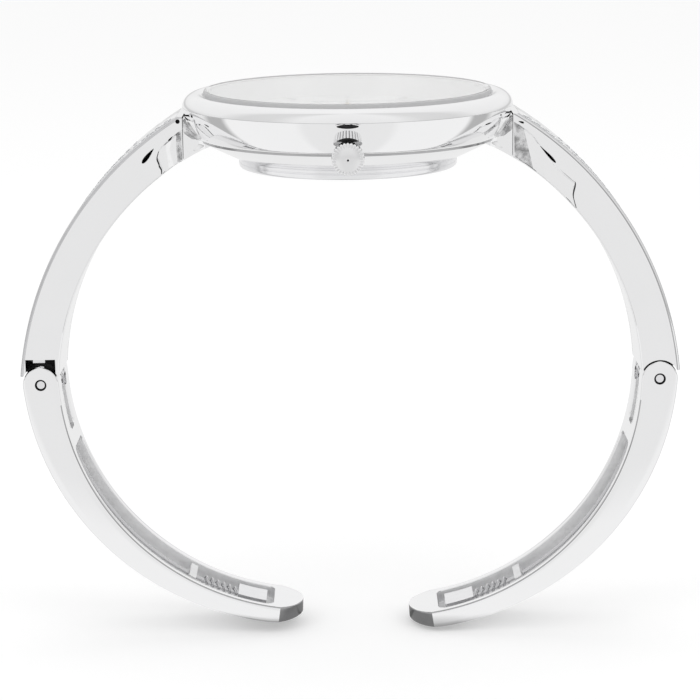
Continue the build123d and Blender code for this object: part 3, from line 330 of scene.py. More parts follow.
def rounded(places, radius, steps=3):
    """A closed outline with each corner rounded by a small arc."""
    result = []
    for k, corner in enumerate(places):
        here = Vector(corner)
        back = Vector(places[k - 1]) - here
        ahead = Vector(places[(k + 1) % len(places)]) - here
        reach = min(radius, back.length / 3, ahead.length / 3)
        start, end = here + back.normalized() * reach, here + ahead.normalized() * reach
        for step in range(steps + 1):
            t = step / steps
            place = start * (1 - t) ** 2 + here * 2 * t * (1 - t) + end * t ** 2
            result.append((place.x, place.y))
    return result


def turned(name, profile, segments=128, closed=True):
    """A round piece made by drawing a ring up through a profile of radius and height."""
    rest()
    radius, height = profile[0]
    bpy.ops.mesh.primitive_circle_add(vertices=segments, radius=radius * MM,
                                      location=(0, 0, height * MM))
    piece = started(name)
    edit(piece)
    places = profile[1:] + ([profile[0]] if closed else [])
    for new_radius, new_height in places:
        bpy.ops.mesh.extrude_edges_move(
            TRANSFORM_OT_translate={"value": (0, 0, (new_height - height) * MM)})
        ratio = new_radius / radius
        bpy.ops.transform.resize(value=(ratio, ratio, 1), center_override=(0, 0, 0))
        radius, height = new_radius, new_height
    rest()
    return close_up(piece)


def skin(name, rows, marks=None):
    """A skin over rings of places in millimetres, one ring for each section along a piece."""
    rest()
    across, along = len(rows[0]), len(rows)
    bpy.ops.mesh.primitive_grid_add(x_subdivisions=across, y_subdivisions=along - 1, size=MM)
    piece = started(name)
    flat = [value * MM for row in rows for place in [*row, row[0]] for value in place]
    if len(piece.data.vertices) * 3 != len(flat):
        raise RuntimeError(f"{name}: the grid has another count of places than its rows")
    piece.data.vertices.foreach_set("co", flat)
    if marks:
        for row in range(along - 1):
            for column in range(across):
                piece.data.polygons[row * across + column].material_index = marks(row, column)
    piece.data.update()
    return close_up(piece)


def box_cutter(low, high):
    """A plain block between two corners in millimetres, for cutting."""
    rest()
    middle = [(a + b) / 2 * MM for a, b in zip(low, high)]
    bpy.ops.mesh.primitive_cube_add(size=1, location=middle)
    bpy.context.object.scale = [(b - a) * MM for a, b in zip(low, high)]
    return started("cutter")


def rod_cutter(radius, start, end, segments=64):
    """A plain cylinder between two places in millimetres, for cutting."""
    rest()
    start, end = Vector(start) * MM, Vector(end) * MM
    bpy.ops.mesh.primitive_cylinder_add(vertices=segments, radius=radius * MM,
                                        depth=(end - start).length,
                                        location=(start + end) / 2)
    piece = bpy.context.object
    piece.rotation_euler = (end - start).to_track_quat("Z", "Y").to_euler()
    return started("cutter")


# Finishes

def new_group(name, inputs, outputs):
    """A new shader group with named sockets, and its two ends."""
    group = bpy.data.node_groups.new(name, "ShaderNodeTree")
    for label, kind, value in inputs:
        socket = group.interface.new_socket(label, in_out="INPUT", socket_type=kind)
        socket.default_value = value
    for label, kind in outputs:
        group.interface.new_socket(label, in_out="OUTPUT", socket_type=kind)
    return group, group.nodes.new("NodeGroupInput"), group.nodes.new("NodeGroupOutput")


def put(tree, kind, links=None, **settings):
    """Adds a node, sets what it is told and links its inputs."""
    node = tree.nodes.new(kind)
    for key, value in settings.items():
        if key in node.inputs:
            node.inputs[key].default_value = value
        else:
            setattr(node, key, value)
    for key, socket in (links or {}).items():
        tree.links.new(socket, node.inputs[key])
    return node


def maths(tree, operation, first, second=None, third=None):
    """A math node on sockets or plain numbers."""
    node = tree.nodes.new("ShaderNodeMath")
    node.operation = operation
    for index, value in enumerate((first, second, third)):
        if value is None:
            continue
        if isinstance(value, (int, float)):
            node.inputs[index].default_value = value
        else:
            tree.links.new(value, node.inputs[index])
    return node.outputs[0]


def handling_group():
    """Faint marks of polishing and handling: a gloss value, a shade and a height."""
    found = bpy.data.node_groups.get("handling_marks")
    if found:
        return found
    tree, given, out = new_group(
        "handling_marks",
        [("Scale", "NodeSocketFloat", 400.0), ("Gloss", "NodeSocketFloat", 0.05),
         ("Spread", "NodeSocketFloat", 0.03)],
        [("Roughness", "NodeSocketFloat"), ("Shade", "NodeSocketFloat"),
         ("Height", "NodeSocketFloat")])
    place = put(tree, "ShaderNodeTexCoord").outputs["Object"]
    cloud = put(tree, "ShaderNodeTexNoise", {"Vector": place, "Scale": given.outputs["Scale"]},
                Detail=4.0, Roughness=0.55)
    fine_scale = maths(tree, "MULTIPLY", given.outputs["Scale"], 14.0)
    fine = put(tree, "ShaderNodeTexNoise", {"Vector": place, "Scale": fine_scale},
               Detail=3.0, Roughness=0.6)
    spread = maths(tree, "MULTIPLY", cloud.outputs["Fac"], given.outputs["Spread"])
    tree.links.new(maths(tree, "ADD", given.outputs["Gloss"], spread), out.inputs["Roughness"])
    tree.links.new(cloud.outputs["Fac"], out.inputs["Shade"])
    tree.links.new(fine.outputs["Fac"], out.inputs["Height"])
    return tree


# The Mix node has sockets of one name for numbers, vectors and colours; these are the colours
FIRST_COLOUR, SECOND_COLOUR, MIXED_COLOUR = 6, 7, 2


def tinted(tree, shade, low, high):
    """A colour that goes between two with a shade."""
    mix = put(tree, "ShaderNodeMix", {"Factor": shade}, data_type="RGBA")
    mix.inputs[FIRST_COLOUR].default_value = (*low, 1)
    mix.inputs[SECOND_COLOUR].default_value = (*high, 1)
    return mix.outputs[MIXED_COLOUR]


def mixed(tree, share, first, second):
    """A shader that goes from one to another with a share."""
    mix = put(tree, "ShaderNodeMixShader", {"Fac": share})
    tree.links.new(first.outputs[0], mix.inputs[1])
    tree.links.new(second.outputs[0], mix.inputs[2])
    return mix


def handled(tree, gloss, spread, scale=400.0):
    """The marks of handling with a finish's own values."""
    return put(tree, "ShaderNodeGroup", node_tree=handling_group(), Gloss=gloss, Spread=spread,
               Scale=scale)


def dented(tree, height, strength, depth):
    """The surface's slope for a relief with a depth in millimetres."""
    dent = put(tree, "ShaderNodeBump", {"Height": height}, Strength=strength,
               Distance=depth * MM)
    return dent.outputs["Normal"]


def fed(tree, shader, inputs):
    """Gives a shader its inputs, each a plain value or a socket to link."""
    for key, value in inputs.items():
        if isinstance(value, bpy.types.NodeSocket):
            tree.links.new(value, shader.inputs[key])
        else:
            shader.inputs[key].default_value = value


def made_once(name):
    """Has a finish made the first time it is asked for, and found by its name after that."""
    def keep(maker):
        def find_or_make():
            return bpy.data.materials.get(name) or maker(name)
        return find_or_make
    return keep


def blank(name):
    """A fresh node material, its tree and its shader."""
    material = bpy.data.materials.new(name)
    material.use_nodes = True
    tree = material.node_tree
    return material, tree, tree.nodes["Principled BSDF"]


def finish_of(name, low, high, metallic=0.0, gloss=0.3, spread=0.1, scale=400.0, bump=0.0,
              **sockets):
    """A finish whose colour, gloss and surface change a little from place to place."""
    found = bpy.data.materials.get(name)
    if found:
        return found
    material, tree, shader = blank(name)
    marks = handled(tree, gloss, spread, scale)
    fed(tree, shader, {"Base Color": tinted(tree, marks.outputs["Shade"], low, high),
                       "Roughness": marks.outputs["Roughness"], "Metallic": metallic})
    if bump:
        fed(tree, shader, {"Normal": dented(tree, marks.outputs["Height"], 0.5, bump)})
    fed(tree, shader, {key.replace("_", " "): value for key, value in sockets.items()})
    return material


def scaled(value, share):
    """A colour made darker or paler, up to white."""
    return tuple(min(1, part * share) for part in value)


def polished_steel():
    steel = finish().steel
    return finish_of("polished_steel", scaled(steel, 0.975), steel, metallic=1.0,
                     gloss=finish().polish, spread=0.02, scale=250.0)


def cast_steel():
    cast = finish().cast
    return finish_of("cast_floor", scaled(cast, 0.82), scaled(cast, 1.1), metallic=0.85,
                     gloss=0.34, spread=0.2, scale=900.0, bump=0.05)


@made_once("uneven_steel")
def patchy_shade_steel(name):
    """Steel with uneven grey patches of painted shade, for the lugs' swings and the folds' ends.
    """
    material, tree, shader = blank(name)
    marks = handled(tree, gloss=0.22, spread=0.1, scale=1300.0)
    patches = put(tree, "ShaderNodeValToRGB", {"Fac": marks.outputs["Shade"]})
    low, high = patches.color_ramp.elements
    low.position, low.color = 0.36, (0.32, 0.32, 0.324, 1)
    high.position, high.color = 0.62, (0.8, 0.8, 0.805, 1)
    fed(tree, shader, {"Base Color": patches.outputs["Color"],
                       "Roughness": marks.outputs["Roughness"], "Metallic": 1.0,
                       "Normal": dented(tree, marks.outputs["Height"], 0.5, 0.03)})
    return material


def soft_steel():
    return finish_of("soft_steel", (0.82, 0.82, 0.825), (0.88, 0.88, 0.885), metallic=1.0,
                     gloss=0.3, spread=0.08, scale=800.0, bump=0.004)


# Darker steel: painted shade for the step's groove, flute valleys, edge rounds, rims and tip ends
def shaded_steel():
    return finish_of("shaded_steel", (0.4, 0.4, 0.405), (0.52, 0.52, 0.525), metallic=1.0,
                     gloss=0.12, spread=0.06, scale=900.0, bump=0.004)


# Satin steel for the hands, batons and small solids; on the arms' edge rounds it is painted shade
def satin_steel():
    return finish_of("satin_steel", (0.6, 0.6, 0.61), (0.72, 0.72, 0.73), metallic=1.0,
                     gloss=0.2, spread=0.15, scale=700.0, bump=0.01)


# Near black steel: painted shade for recesses, bores, gaps, slits and the fold's edge line
def painted_shadow_steel():
    return finish_of("painted_shadow_hollow", (0.015, 0.015, 0.016), (0.06, 0.06, 0.062),
                     metallic=1.0, gloss=0.3, spread=0.2, scale=1200.0, bump=0.01)


def bright_steel():
    return finish_of("bright_steel", (0.8, 0.8, 0.81), (0.88, 0.88, 0.89), metallic=1.0,
                     gloss=0.08, spread=0.08, scale=900.0, bump=0.002)


def brass():
    colour_of = finish().brass
    return finish_of("train_brass", scaled(colour_of, 0.85), colour_of, metallic=1.0, gloss=0.2,
                     spread=0.15, scale=800.0, bump=0.005)


def gold_plate():
    return finish_of("gilt_plate", (0.78, 0.6, 0.3), (0.88, 0.7, 0.38), metallic=1.0,
                     gloss=0.22, spread=0.1, scale=500.0, bump=0.004)


def pale_plastic():
    return finish_of("holder_plastic", (0.8, 0.8, 0.77), (0.88, 0.88, 0.85), gloss=0.45,
                     spread=0.15, scale=500.0, bump=0.01)


def dark_plastic():
    return finish_of("chip_plastic", (0.02, 0.02, 0.022), (0.05, 0.05, 0.055), gloss=0.4,
                     spread=0.2, scale=900.0, bump=0.01)


def soft_seal():
    return finish_of("seal_rubber", (0.7, 0.7, 0.71), (0.8, 0.8, 0.81), gloss=0.55, spread=0.15,
                     scale=900.0, bump=0.01)


def board_lacquer():
    return finish_of("board_lacquer", (0.04, 0.16, 0.09), (0.07, 0.26, 0.14), gloss=0.3,
                     spread=0.15, scale=900.0, bump=0.01)


@made_once("coil_copper")
def coil_copper(name):
    """Enamelled wire wound side by side along X."""
    material, tree, shader = blank(name)
    place = put(tree, "ShaderNodeTexCoord").outputs["Object"]
    wires = put(tree, "ShaderNodeTexWave", {"Vector": place}, bands_direction="X",
                Scale=2600.0, Distortion=0.3)
    copper = tinted(tree, wires.outputs["Fac"], (0.3, 0.12, 0.05), (0.75, 0.36, 0.18))
    fed(tree, shader, {"Base Color": copper, "Roughness": 0.3, "Metallic": 0.9,
                       "Normal": dented(tree, wires.outputs["Fac"], 0.6, 0.03)})
    return material


@made_once("clear_glass")
def clear_glass(name):
    """Clear glass that lets the light through to what lies under it."""
    glass = finish_of(name, (0.985, 0.99, 0.99), (1.0, 1.0, 1.0), gloss=0.0,
                      spread=0.01, scale=300.0, Transmission_Weight=1.0, IOR=1.5)
    tree = glass.node_tree
    shader, out = tree.nodes["Principled BSDF"], tree.nodes["Material Output"]
    path = put(tree, "ShaderNodeLightPath")
    light = maths(tree, "MAXIMUM", path.outputs["Is Shadow Ray"],
                  path.outputs["Is Diffuse Ray"])
    gap = put(tree, "ShaderNodeBsdfTransparent", Color=(0.95, 0.95, 0.95, 1))
    tree.links.new(mixed(tree, light, shader, gap).outputs[0], out.inputs["Surface"])
    return glass


@made_once("ground_glass")
def ground_glass(name):
    """The ground edge of the crystal, which only shows from outside."""
    glass = finish_of(name, (0.56, 0.56, 0.565), (0.62, 0.62, 0.625), gloss=0.4,
                      spread=0.15, scale=2500.0, bump=0.004, Transmission_Weight=0.1, IOR=1.5)
    tree = glass.node_tree
    shader, out = tree.nodes["Principled BSDF"], tree.nodes["Material Output"]
    behind = put(tree, "ShaderNodeNewGeometry").outputs["Backfacing"]
    clear = put(tree, "ShaderNodeBsdfTransparent", Color=(0.96, 0.96, 0.96, 1))
    tree.links.new(mixed(tree, behind, shader, clear).outputs[0], out.inputs["Surface"])
    return glass


def stone_glass():
    tint = finish().stone
    return finish_of("cut_stone", scaled(tint, 0.96), tint, gloss=0.0, spread=0.02, scale=900.0,
                     Transmission_Weight=0.55, IOR=2.1, Specular_IOR_Level=0.9)


@made_once("turned_steel")
def turned_steel(name):
    """Bright steel with the fine rings that turning leaves round Z."""
    material, tree, shader = blank(name)
    place = put(tree, "ShaderNodeTexCoord").outputs["Object"]
    rings = put(tree, "ShaderNodeTexWave", {"Vector": place}, wave_type="RINGS",
                rings_direction="Z", Scale=900.0, Distortion=2.0, Detail=2.0)
    marks = handled(tree, gloss=0.1, spread=0.12)
    grey = tinted(tree, marks.outputs["Shade"], (0.84, 0.84, 0.85), (0.92, 0.92, 0.93))
    fed(tree, shader, {"Base Color": grey, "Roughness": marks.outputs["Roughness"],
                       "Metallic": 1.0,
                       "Normal": dented(tree, rings.outputs["Fac"], 0.25, 0.004)})
    return material


@made_once("dial_lacquer")
def dial_lacquer(name):
    """Silver white lacquer over fine rays brushed out from the middle."""
    material, tree, shader = blank(name)
    place = put(tree, "ShaderNodeTexCoord").outputs["Object"]
    parts = put(tree, "ShaderNodeSeparateXYZ", {"Vector": place})
    turn = maths(tree, "ARCTAN2", parts.outputs["Y"], parts.outputs["X"])
    stroke = put(tree, "ShaderNodeCombineXYZ", {"X": maths(tree, "MULTIPLY", turn, 40.0)})
    rays = put(tree, "ShaderNodeTexNoise", {"Vector": stroke.outputs["Vector"]}, Scale=6.0,
               Detail=5.0, Roughness=0.7)
    base = finish().dial
    fed(tree, shader, {"Base Color": tinted(tree, rays.outputs["Fac"], scaled(base, 0.93), base),
                       "Roughness": maths(tree, "MULTIPLY_ADD", rays.outputs["Fac"], 0.15, 0.28),
                       "Normal": dented(tree, rays.outputs["Fac"], 0.2, 0.01),
                       "Metallic": 0.35, "Coat Weight": 0.3})
    return material


# Watch head

# Inside the middle case, in millimetres: its wall, its floor's height, and the back's ledge
CASE_WALL, CASE_FLOOR, BACK_LEDGE = 3.2, 2.43, 0.8
# Play round the crown in its recess, where the recess and the stem's bore end, and the radius
# of that bore
RECESS_PLAY, RECESS_END, BORE_END, STEM_BORE = 0.28, -15.95, -12, 0.73
# The nick over the crown, per cut: half its length, its radius, its Y and how far it lies under
# the seam. The first cut is polished, and the deeper one inside it is painted dark as shade
NICK_CUTS = ((1.75, 0.27, -16.64, 0.2), (1.3, 0.2, -16.42, 0.3))


def case_profile(s):
    """The middle case's profile, from the back's seat up the outside and down the inside."""
    back, step, case = map(in_mm, (s.back_radius, s.step_radius, s.case_radius))
    seat, low, seam = map(in_mm, (s.seat_height, s.step_height, s.seam_height))
    middle = (step + 0.66 * (case - step), (low + seam) / 2)
    wall = bend((step, low), middle, (case, seam), 14)
    cone = bend((back + 0.06, seat), ((back + step) / 2, (seat + low) / 2 - 0.13),
                (step - 0.16, low - 0.26), 8)
    inside = [(in_mm(s.well_radius), seam), (in_mm(s.well_radius), in_mm(s.dial_low)),
              (case - CASE_WALL, in_mm(s.dial_low)), (case - CASE_WALL, CASE_FLOOR),
              (back - BACK_LEDGE, CASE_FLOOR), (back - BACK_LEDGE, seat)]
    ledge = [(step - 0.15, low - 0.06), (step - 0.03, low - 0.015)]
    return cone + ledge + wall[1:-1] + [(case, seam - 0.015), (case - 0.015, seam)] + inside


def wall_reach(s, height):
    """How far the case's wall stands out at the lugs' flanks, at a height."""
    low, seam = in_mm(s.step_height), in_mm(s.seam_height)
    step, case = in_mm(s.step_radius), in_mm(s.case_radius)
    share = (height - low) / (seam - low)
    if share < 0:
        radius = step - 0.2 + 2 * (height - low)
    else:
        radius = step + (case - step) * (1 - (1 - min(1, share)) ** 1.7)
    return math.sqrt(max(1, radius ** 2 - LUG_HALF ** 2))


# Where a lug ends, half its width, and its sections: a kind, with a share of the flat stretch or
# of the swing into the case, or a depth inside the case
LUG_END = 16.34
LUG_HALF = 4.0
LUG_ROWS = ([("flat", share) for share in (1, 0.66, 0.33)]
            + [("swing", share) for share in (0, 0.1, 0.22, 0.35, 0.48, 0.6, 0.72, 0.84, 0.93, 1)]
            + [("inside", depth) for depth in (0.3, 0.9, 2.0)])


def lug_place(s, kind, share, height):
    """How far from the middle a lug's section stands at a height, and how far it swings out."""
    wall = wall_reach(s, height)
    size = 0.35 + 0.5 * max(0, height - 2.3)
    if kind == "flat":
        x = wall + size + (LUG_END - wall - size) * share
    elif kind == "swing":
        x = wall + size * (1 - share)
    else:
        x = wall - share
    x = min(x, LUG_END)
    near = max(0.0, min(1.0, 1 - (x - wall) / size))
    swing = size * (0.3 * near + 0.7 * (1 - math.sqrt(1 - near * near)))
    return x, swing * eased((LUG_END - x) / 0.6)


def lug_rows(side, s):
    """Sections of one lug, whose flanks swing out into the case."""
    rows, steps, soft = [], 16, 0.1
    for row, (kind, share) in enumerate(LUG_ROWS):
        flank = []
        for k in range(steps + 1):
            z = 3.0
            for _ in range(5):
                x, swing = lug_place(s, kind, share, z)
                low = UPPER_IN[1] + math.sqrt(UPPER_IN[2] ** 2 - (x + UPPER_IN[0]) ** 2)
                z = low + (LUG_TOP - low) * k / steps
            flank.append((x - 0.001 * row, LUG_HALF + swing, z))
        (x0, y0, z0), (x1, y1, z1) = flank[0], flank[-1]
        line = [(x0, 0, z0), (x0, 2, z0), (x0, y0 - soft, z0), *flank[1:-1],
                (x1, y1, z1 - soft), (x1, y1 - soft, z1), (x1, 2, z1), (x1, 0, z1)]
        loop = line + [(x, -y, z) for x, y, z in reversed(line[1:-1])]
        rows.append([(side * x, y, z) for x, y, z in loop])
    return rows


def make_lug(side, s):
    """One lug with patchy painted shade on its swing into the case and its end painted dark as
    shade.
    """
    rows = lug_rows(side, s)
    last = len(rows[0]) - 1
    upper_flank = range(8, 18)

    def marks(row, column):
        swing_shade = LUG_ROWS[row][0] == "swing" and min(column, last - column) in upper_flank
        return 2 if swing_shade else 0
    lug = skin("lug", rows, marks)
    # Painted shade: the lug's end face is dark, for the shadowed gap at the joint
    for face in lug.data.polygons:
        if face.center.x * side > (LUG_END - 0.01) * MM and abs(face.normal.x) > 0.9:
            face.material_index = 1
    return lug


def nail_nick(s):
    """The cutters of the nick over the crown, by which a nail lifts the bezel."""
    return [moved(spindle(half, radius), (0, y * MM, s.seam_height - drop * MM))
            for half, radius, y, drop in NICK_CUTS]


def spindle(half, radius):
    """A slim lens of revolution along X, as a cutter."""
    steps, line = 16, []
    for k in range(steps + 1):
        share = 2 * k / steps - 1
        line.append((max(POINT, radius * (1 - share * share)), half * share))
    return swung(turned("cutter", line, 40, closed=False), "Y", math.pi / 2)


def make_case():
    """The middle case with its step line, its openings for the crown and its two lugs."""
    s = head()
    case = turned("case_band", case_profile(s), 192)
    step, low = s.step_radius, s.step_height
    for face in case.data.polygons:
        radius, height = face.center.xy.length, face.center.z
        # Painted shade: the step's groove gets the darker steel
        groove = step - 0.17 * MM < radius < step and low - 0.25 * MM < height < low
        face.material_index = 3 if groove else 0
    height = in_mm(s.crown_height)
    recess = in_mm(s.crown_radius) + RECESS_PLAY
    # Painted shade: the crown's recess, the stem's bore and the nick's deeper cut are dark steel
    carve(case, rod_cutter(recess, (0, -18, height), (0, RECESS_END, height), 96), mark=1)
    carve(case, rod_cutter(STEM_BORE, (0, -17, height), (0, BORE_END, height)), mark=1)
    for mark, cutter in enumerate(nail_nick(s)):
        carve(case, cutter, mark=mark)
    finishes = [polished_steel(), painted_shadow_steel(), patchy_shade_steel(), shaded_steel()]
    parts = [case, make_lug(-1, s), make_lug(1, s)]
    case = joined("case_band", [painted(part, finishes) for part in parts])
    wear_on(smooth(case, 30), "head", "polished_case", "case_body", materials=finishes)


def make_bezel():
    """The rounded bezel, whose spigot stands inside the case."""
    s = head()
    case, seam, top = in_mm(s.case_radius), in_mm(s.seam_height), in_mm(s.bezel_top)
    bore = in_mm(s.glass_radius) + 0.13
    lip = bore + 0.15
    shoulder = (lip + 0.76 * (case - lip), seam + 0.76 * (top - seam))
    outside = bend((case, seam + 0.025), shoulder, (lip, top), 18)
    profile = [(case - 0.015, seam + 0.01), *outside, (bore + 0.04, top - 0.01),
               (bore, top - 0.05), (bore, in_mm(s.glass_low)),
               (in_mm(s.well_radius), in_mm(s.glass_low)), (in_mm(s.well_radius), seam - 0.4),
               (case - 1.8, seam - 0.4), (case - 1.8, seam + 0.01)]
    ring = smooth(turned("bezel_ring", profile, 192), 28)
    wear_on(ring, "head", "polished_case", "bezel", materials=[polished_steel()])


def make_crystal():
    """The flat crystal with its ground and bevelled edge."""
    s = head()
    radius, low, top = in_mm(s.glass_radius), in_mm(s.glass_low), in_mm(s.glass_top)
    profile = [(0.05, low), (radius - 0.05, low), (radius, low + 0.05), (radius, top - 0.16),
               (radius - 0.05, top - 0.05), (radius - 0.16, top), (radius - 0.35, top),
               (0.05, top)]
    glass = turned("flat_crystal", profile, 192, closed=False)
    for face in glass.data.polygons:
        outward = face.center.xy.length > (radius - 0.34) * MM
        face.material_index = 1 if outward and abs(face.normal.z) < 0.99 else 0
    smooth(glass, 25)
    wear_on(glass, "head", "crystal_glass", "crystal",
            materials=[clear_glass(), ground_glass()])


def make_back():
    """The case back with its hollow inside and the notch by which a blade lifts it."""
    s = head()
    radius, seat = in_mm(s.back_radius), in_mm(s.seat_height)
    profile = [(0.05, 0.06), (6.0, 0.05), (6.3, 0.0), (9.3, 0.0), (9.45, 0.1), (9.7, 0.1),
               (9.85, 0.0), *bend((radius - 0.3, 0), (radius - 0.09, 0.09), (radius, 0.3), 5),
               (radius, 0.5), (radius - 0.08, 0.55), (radius - 0.08, 0.62), (radius, 0.67),
               (radius, seat - 0.06), (radius - 0.06, seat), (radius - 0.85, seat),
               (radius - 0.85, seat + 0.5), (radius - 1.45, seat + 0.5), (radius - 1.45, 0.57),
               (0.05, 0.57)]
    back = turned("back_plate", profile, 160, closed=False)
    carve(back, box_cutter((-1.5, radius - 0.5, seat - 0.35), (1.5, radius + 1, seat + 1)))
    smooth(back, 28)
    wear_on(back, "head", "polished_case", "case_back", materials=[turned_steel()])


# Upright edges of the crown for each of its flutes
FLUTE_EDGES = 6


def flute(piece, count, outside, low, high):
    """Draws in every few upright edges of a round piece between two heights."""
    edit(piece)
    for offsets, ratio in (((2, 4), 0.965), ((3,), 0.93)):
        bpy.ops.mesh.select_all(action="DESELECT")
        bpy.ops.object.mode_set(mode="OBJECT")
        for vertex in piece.data.vertices:
            turn = math.atan2(vertex.co.y, vertex.co.x) / (2 * math.pi) * count * FLUTE_EDGES
            near = round(turn) % FLUTE_EDGES in offsets
            vertex.select = (near and vertex.co.xy.length > outside * MM
                             and low * MM < vertex.co.z < high * MM)
        bpy.ops.object.mode_set(mode="EDIT")
        bpy.ops.transform.resize(value=(ratio, ratio, 1), center_override=(0, 0, 0))
    rest()


def make_crown():
    """The fluted crown, turned upright, laid along Y and lifted to its axis."""
    s = head()
    radius, start, end = map(in_mm, (s.crown_radius, s.crown_start, s.crown_end))
    dome = bend((radius - 0.12, end - 0.5), (radius * 0.55, end - 0.12), (0.13, end), 12)
    dome += [(0.1, end - 0.02), (0.06, end - 0.12)]
    profile = [(0.41, start + 2), (0.41, start + 1.0), (1.0, start + 1.0), (1.0, start),
               (radius - 0.12, start), (radius - 0.03, start + 0.05), (radius, start + 0.14),
               (radius, start + 0.5), (radius, end - 0.78), (radius, end - 0.64),
               (radius - 0.03, end - 0.56), *dome]
    crown = turned("fluted_crown", profile, s.crown_flutes * FLUTE_EDGES, closed=False)
    flute(crown, s.crown_flutes, radius - 0.38, start + 0.1, end - 0.2)
    moved(swung(crown, "X", -math.pi / 2), (0, 0, s.crown_height))
    # Painted shade: the eye in the dome's middle is dark and the flutes' valleys are darker steel
    for face in crown.data.polygons:
        x, y, z = face.center
        reach = math.hypot(x, z - s.crown_height)
        eye = reach < 0.11 * MM and y < -(s.crown_end - 0.2 * MM)
        on_dome = reach < s.crown_radius - 0.13 * MM and y < -(s.crown_end - 0.6 * MM)
        valley = reach < s.crown_radius - 0.04 * MM and -y < s.crown_end - 0.7 * MM
        face.material_index = 1 if eye else 2 if on_dome else 3 if valley else 0
    smooth(crown, 40)
    wear_on(crown, "crown_turn", "polished_case", "crown",
            materials=[polished_steel(), painted_shadow_steel(), soft_steel(), shaded_steel()])


def copied(piece, places):
    """Copies of a piece, each with its own mesh: turned about Y, moved, then turned about Z."""
    copies = []
    for place, lean, turn in places:
        hold(piece)
        bpy.ops.object.duplicate(linked=False)
        copy = bpy.context.object
        if lean:
            swung(copy, "Y", -lean)
        moved(copy, [value * MM for value in place])
        if turn:
            swung(copy, "Z", -turn)
        copies.append(copy)
    bpy.data.objects.remove(piece)
    return copies


# The hour batons in millimetres: how far they stay from the dial ring's wall, their length and
# height, and their width at twelve and at the other hours
BATON_INSET, BATON_LENGTH, BATON_HEIGHT = 1.45, 1.5, 0.16
TWELVE_WIDTH, BATON_WIDTH = 0.9, 0.45


def baton(name, width):
    """One bevelled hour baton lying along X on the dial."""
    s = head()
    outer, low = in_mm(s.well_radius) - BATON_INSET, in_mm(s.dial_top)
    piece = box_cutter((outer - BATON_LENGTH, -width / 2, low),
                       (outer, width / 2, low + BATON_HEIGHT))
    piece.name = name
    return apply_modifier(piece, "BEVEL", width=0.05 * MM, segments=1)


def make_markers():
    """The twelve batons, the one at twelve twice as wide."""
    twelve = baton("wide_baton", TWELVE_WIDTH)
    others = copied(baton("baton", BATON_WIDTH),
                    [((0, 0, 0), 0, math.radians(30 * hour)) for hour in range(1, 12)])
    batons = joined("hour_batons", [twelve, *others])
    wear_on(batons, "head", "polished_trim", "hour_markers", materials=[satin_steel()])


# Length, tail, width, height over the dial, bore and body of each hand in millimetres
HANDS = {"hour_hand": (6.6, 0.95, 0.95, 0.2, 0.71, "hours"),
         "minute_hand": (10.4, 0.75, 0.75, 0.54, 0.43, "minutes"),
         "second_hand": (11.4, 3.2, 0.2, 0.88, 0.16, "seconds")}
# How thick a blade is at its edges and on its ridge, how wide the ring round the bore is, and the
# radius of the second hand's counterweight
HAND_EDGE, HAND_RIDGE, HUB_WIDTH, WEIGHT_RADIUS = 0.05, 0.12, 0.3, 0.4


def ridged(name, start, end, first, last, low):
    """A blade along X with a ridge on its back, between two places and widths."""
    rows = []
    for x, width in ((start, first), ((start + end) / 2, (first + last) / 2), (end, last)):
        half = max(POINT, width / 2)
        rows.append([(x, -half, low), (x, half, low), (x, half, low + HAND_EDGE),
                     (x, 0, low + HAND_RIDGE), (x, -half, low + HAND_EDGE)])
    return skin(name, rows)


def button(name, inside, outside, bevel, low, segments, closed):
    """A low ring or button with bevelled edges, as high as a hand's ridge."""
    top = low + HAND_RIDGE
    profile = [(inside, low), (outside - bevel, low), (outside, low + bevel),
               (outside, top - bevel), (outside - bevel, top), (inside, top)]
    return turned(name, profile, segments, closed)


def make_hand(node):
    """One hand: its ring, its blade and its tail, and the second hand's counterweight."""
    reach, tail, width, rise, bore, body = HANDS[node]
    low = in_mm(head().dial_top) + rise
    name = f"ridged_{node}"
    parts = [button(name, bore, bore + HUB_WIDTH, 0.03, low, 48, closed=True),
             ridged(name, bore * 0.98, reach, width, 0.02, low),
             ridged(name, -tail, -bore * 0.98, width / 2, width * 0.9, low)]
    if body == "seconds":
        weight = button(name, 0.03, WEIGHT_RADIUS, 0.02, low, 40, closed=False)
        parts += copied(weight, [((-tail, 0, 0), 0, 0)])
    hand = smooth(joined(name, parts), 30)
    wear_on(hand, body, "polished_trim", node, materials=[satin_steel()])


class WATCH_OT_dial_work(bpy.types.Operator):
    """Makes the bevelled hour batons and the ridged hands"""
    bl_idname = "watch.dial_work"
    bl_label = "Batons and hands"

    def execute(self, context):
        make_markers()
        for node in HANDS:
            make_hand(node)
        return {"FINISHED"}


class WATCH_OT_case(bpy.types.Operator):
    """Makes the polished middle case with its lugs"""
    bl_idname = "watch.case"
    bl_label = "Case"

    def execute(self, context):
        make_case()
        return {"FINISHED"}


class WATCH_OT_bezel(bpy.types.Operator):
    """Makes the rounded bezel"""
    bl_idname = "watch.bezel"
    bl_label = "Bezel"

    def execute(self, context):
        make_bezel()
        return {"FINISHED"}


class WATCH_OT_crystal(bpy.types.Operator):
    """Makes the flat crystal with its ground edge"""
    bl_idname = "watch.crystal"
    bl_label = "Crystal"

    def execute(self, context):
        make_crystal()
        return {"FINISHED"}


class WATCH_OT_back(bpy.types.Operator):
    """Makes the case back"""
    bl_idname = "watch.back"
    bl_label = "Case back"

    def execute(self, context):
        make_back()
        return {"FINISHED"}


class WATCH_OT_crown(bpy.types.Operator):
    """Makes the domed and fluted crown"""
    bl_idname = "watch.crown"
    bl_label = "Crown"

    def execute(self, context):
        make_crown()
        return {"FINISHED"}


# Arms

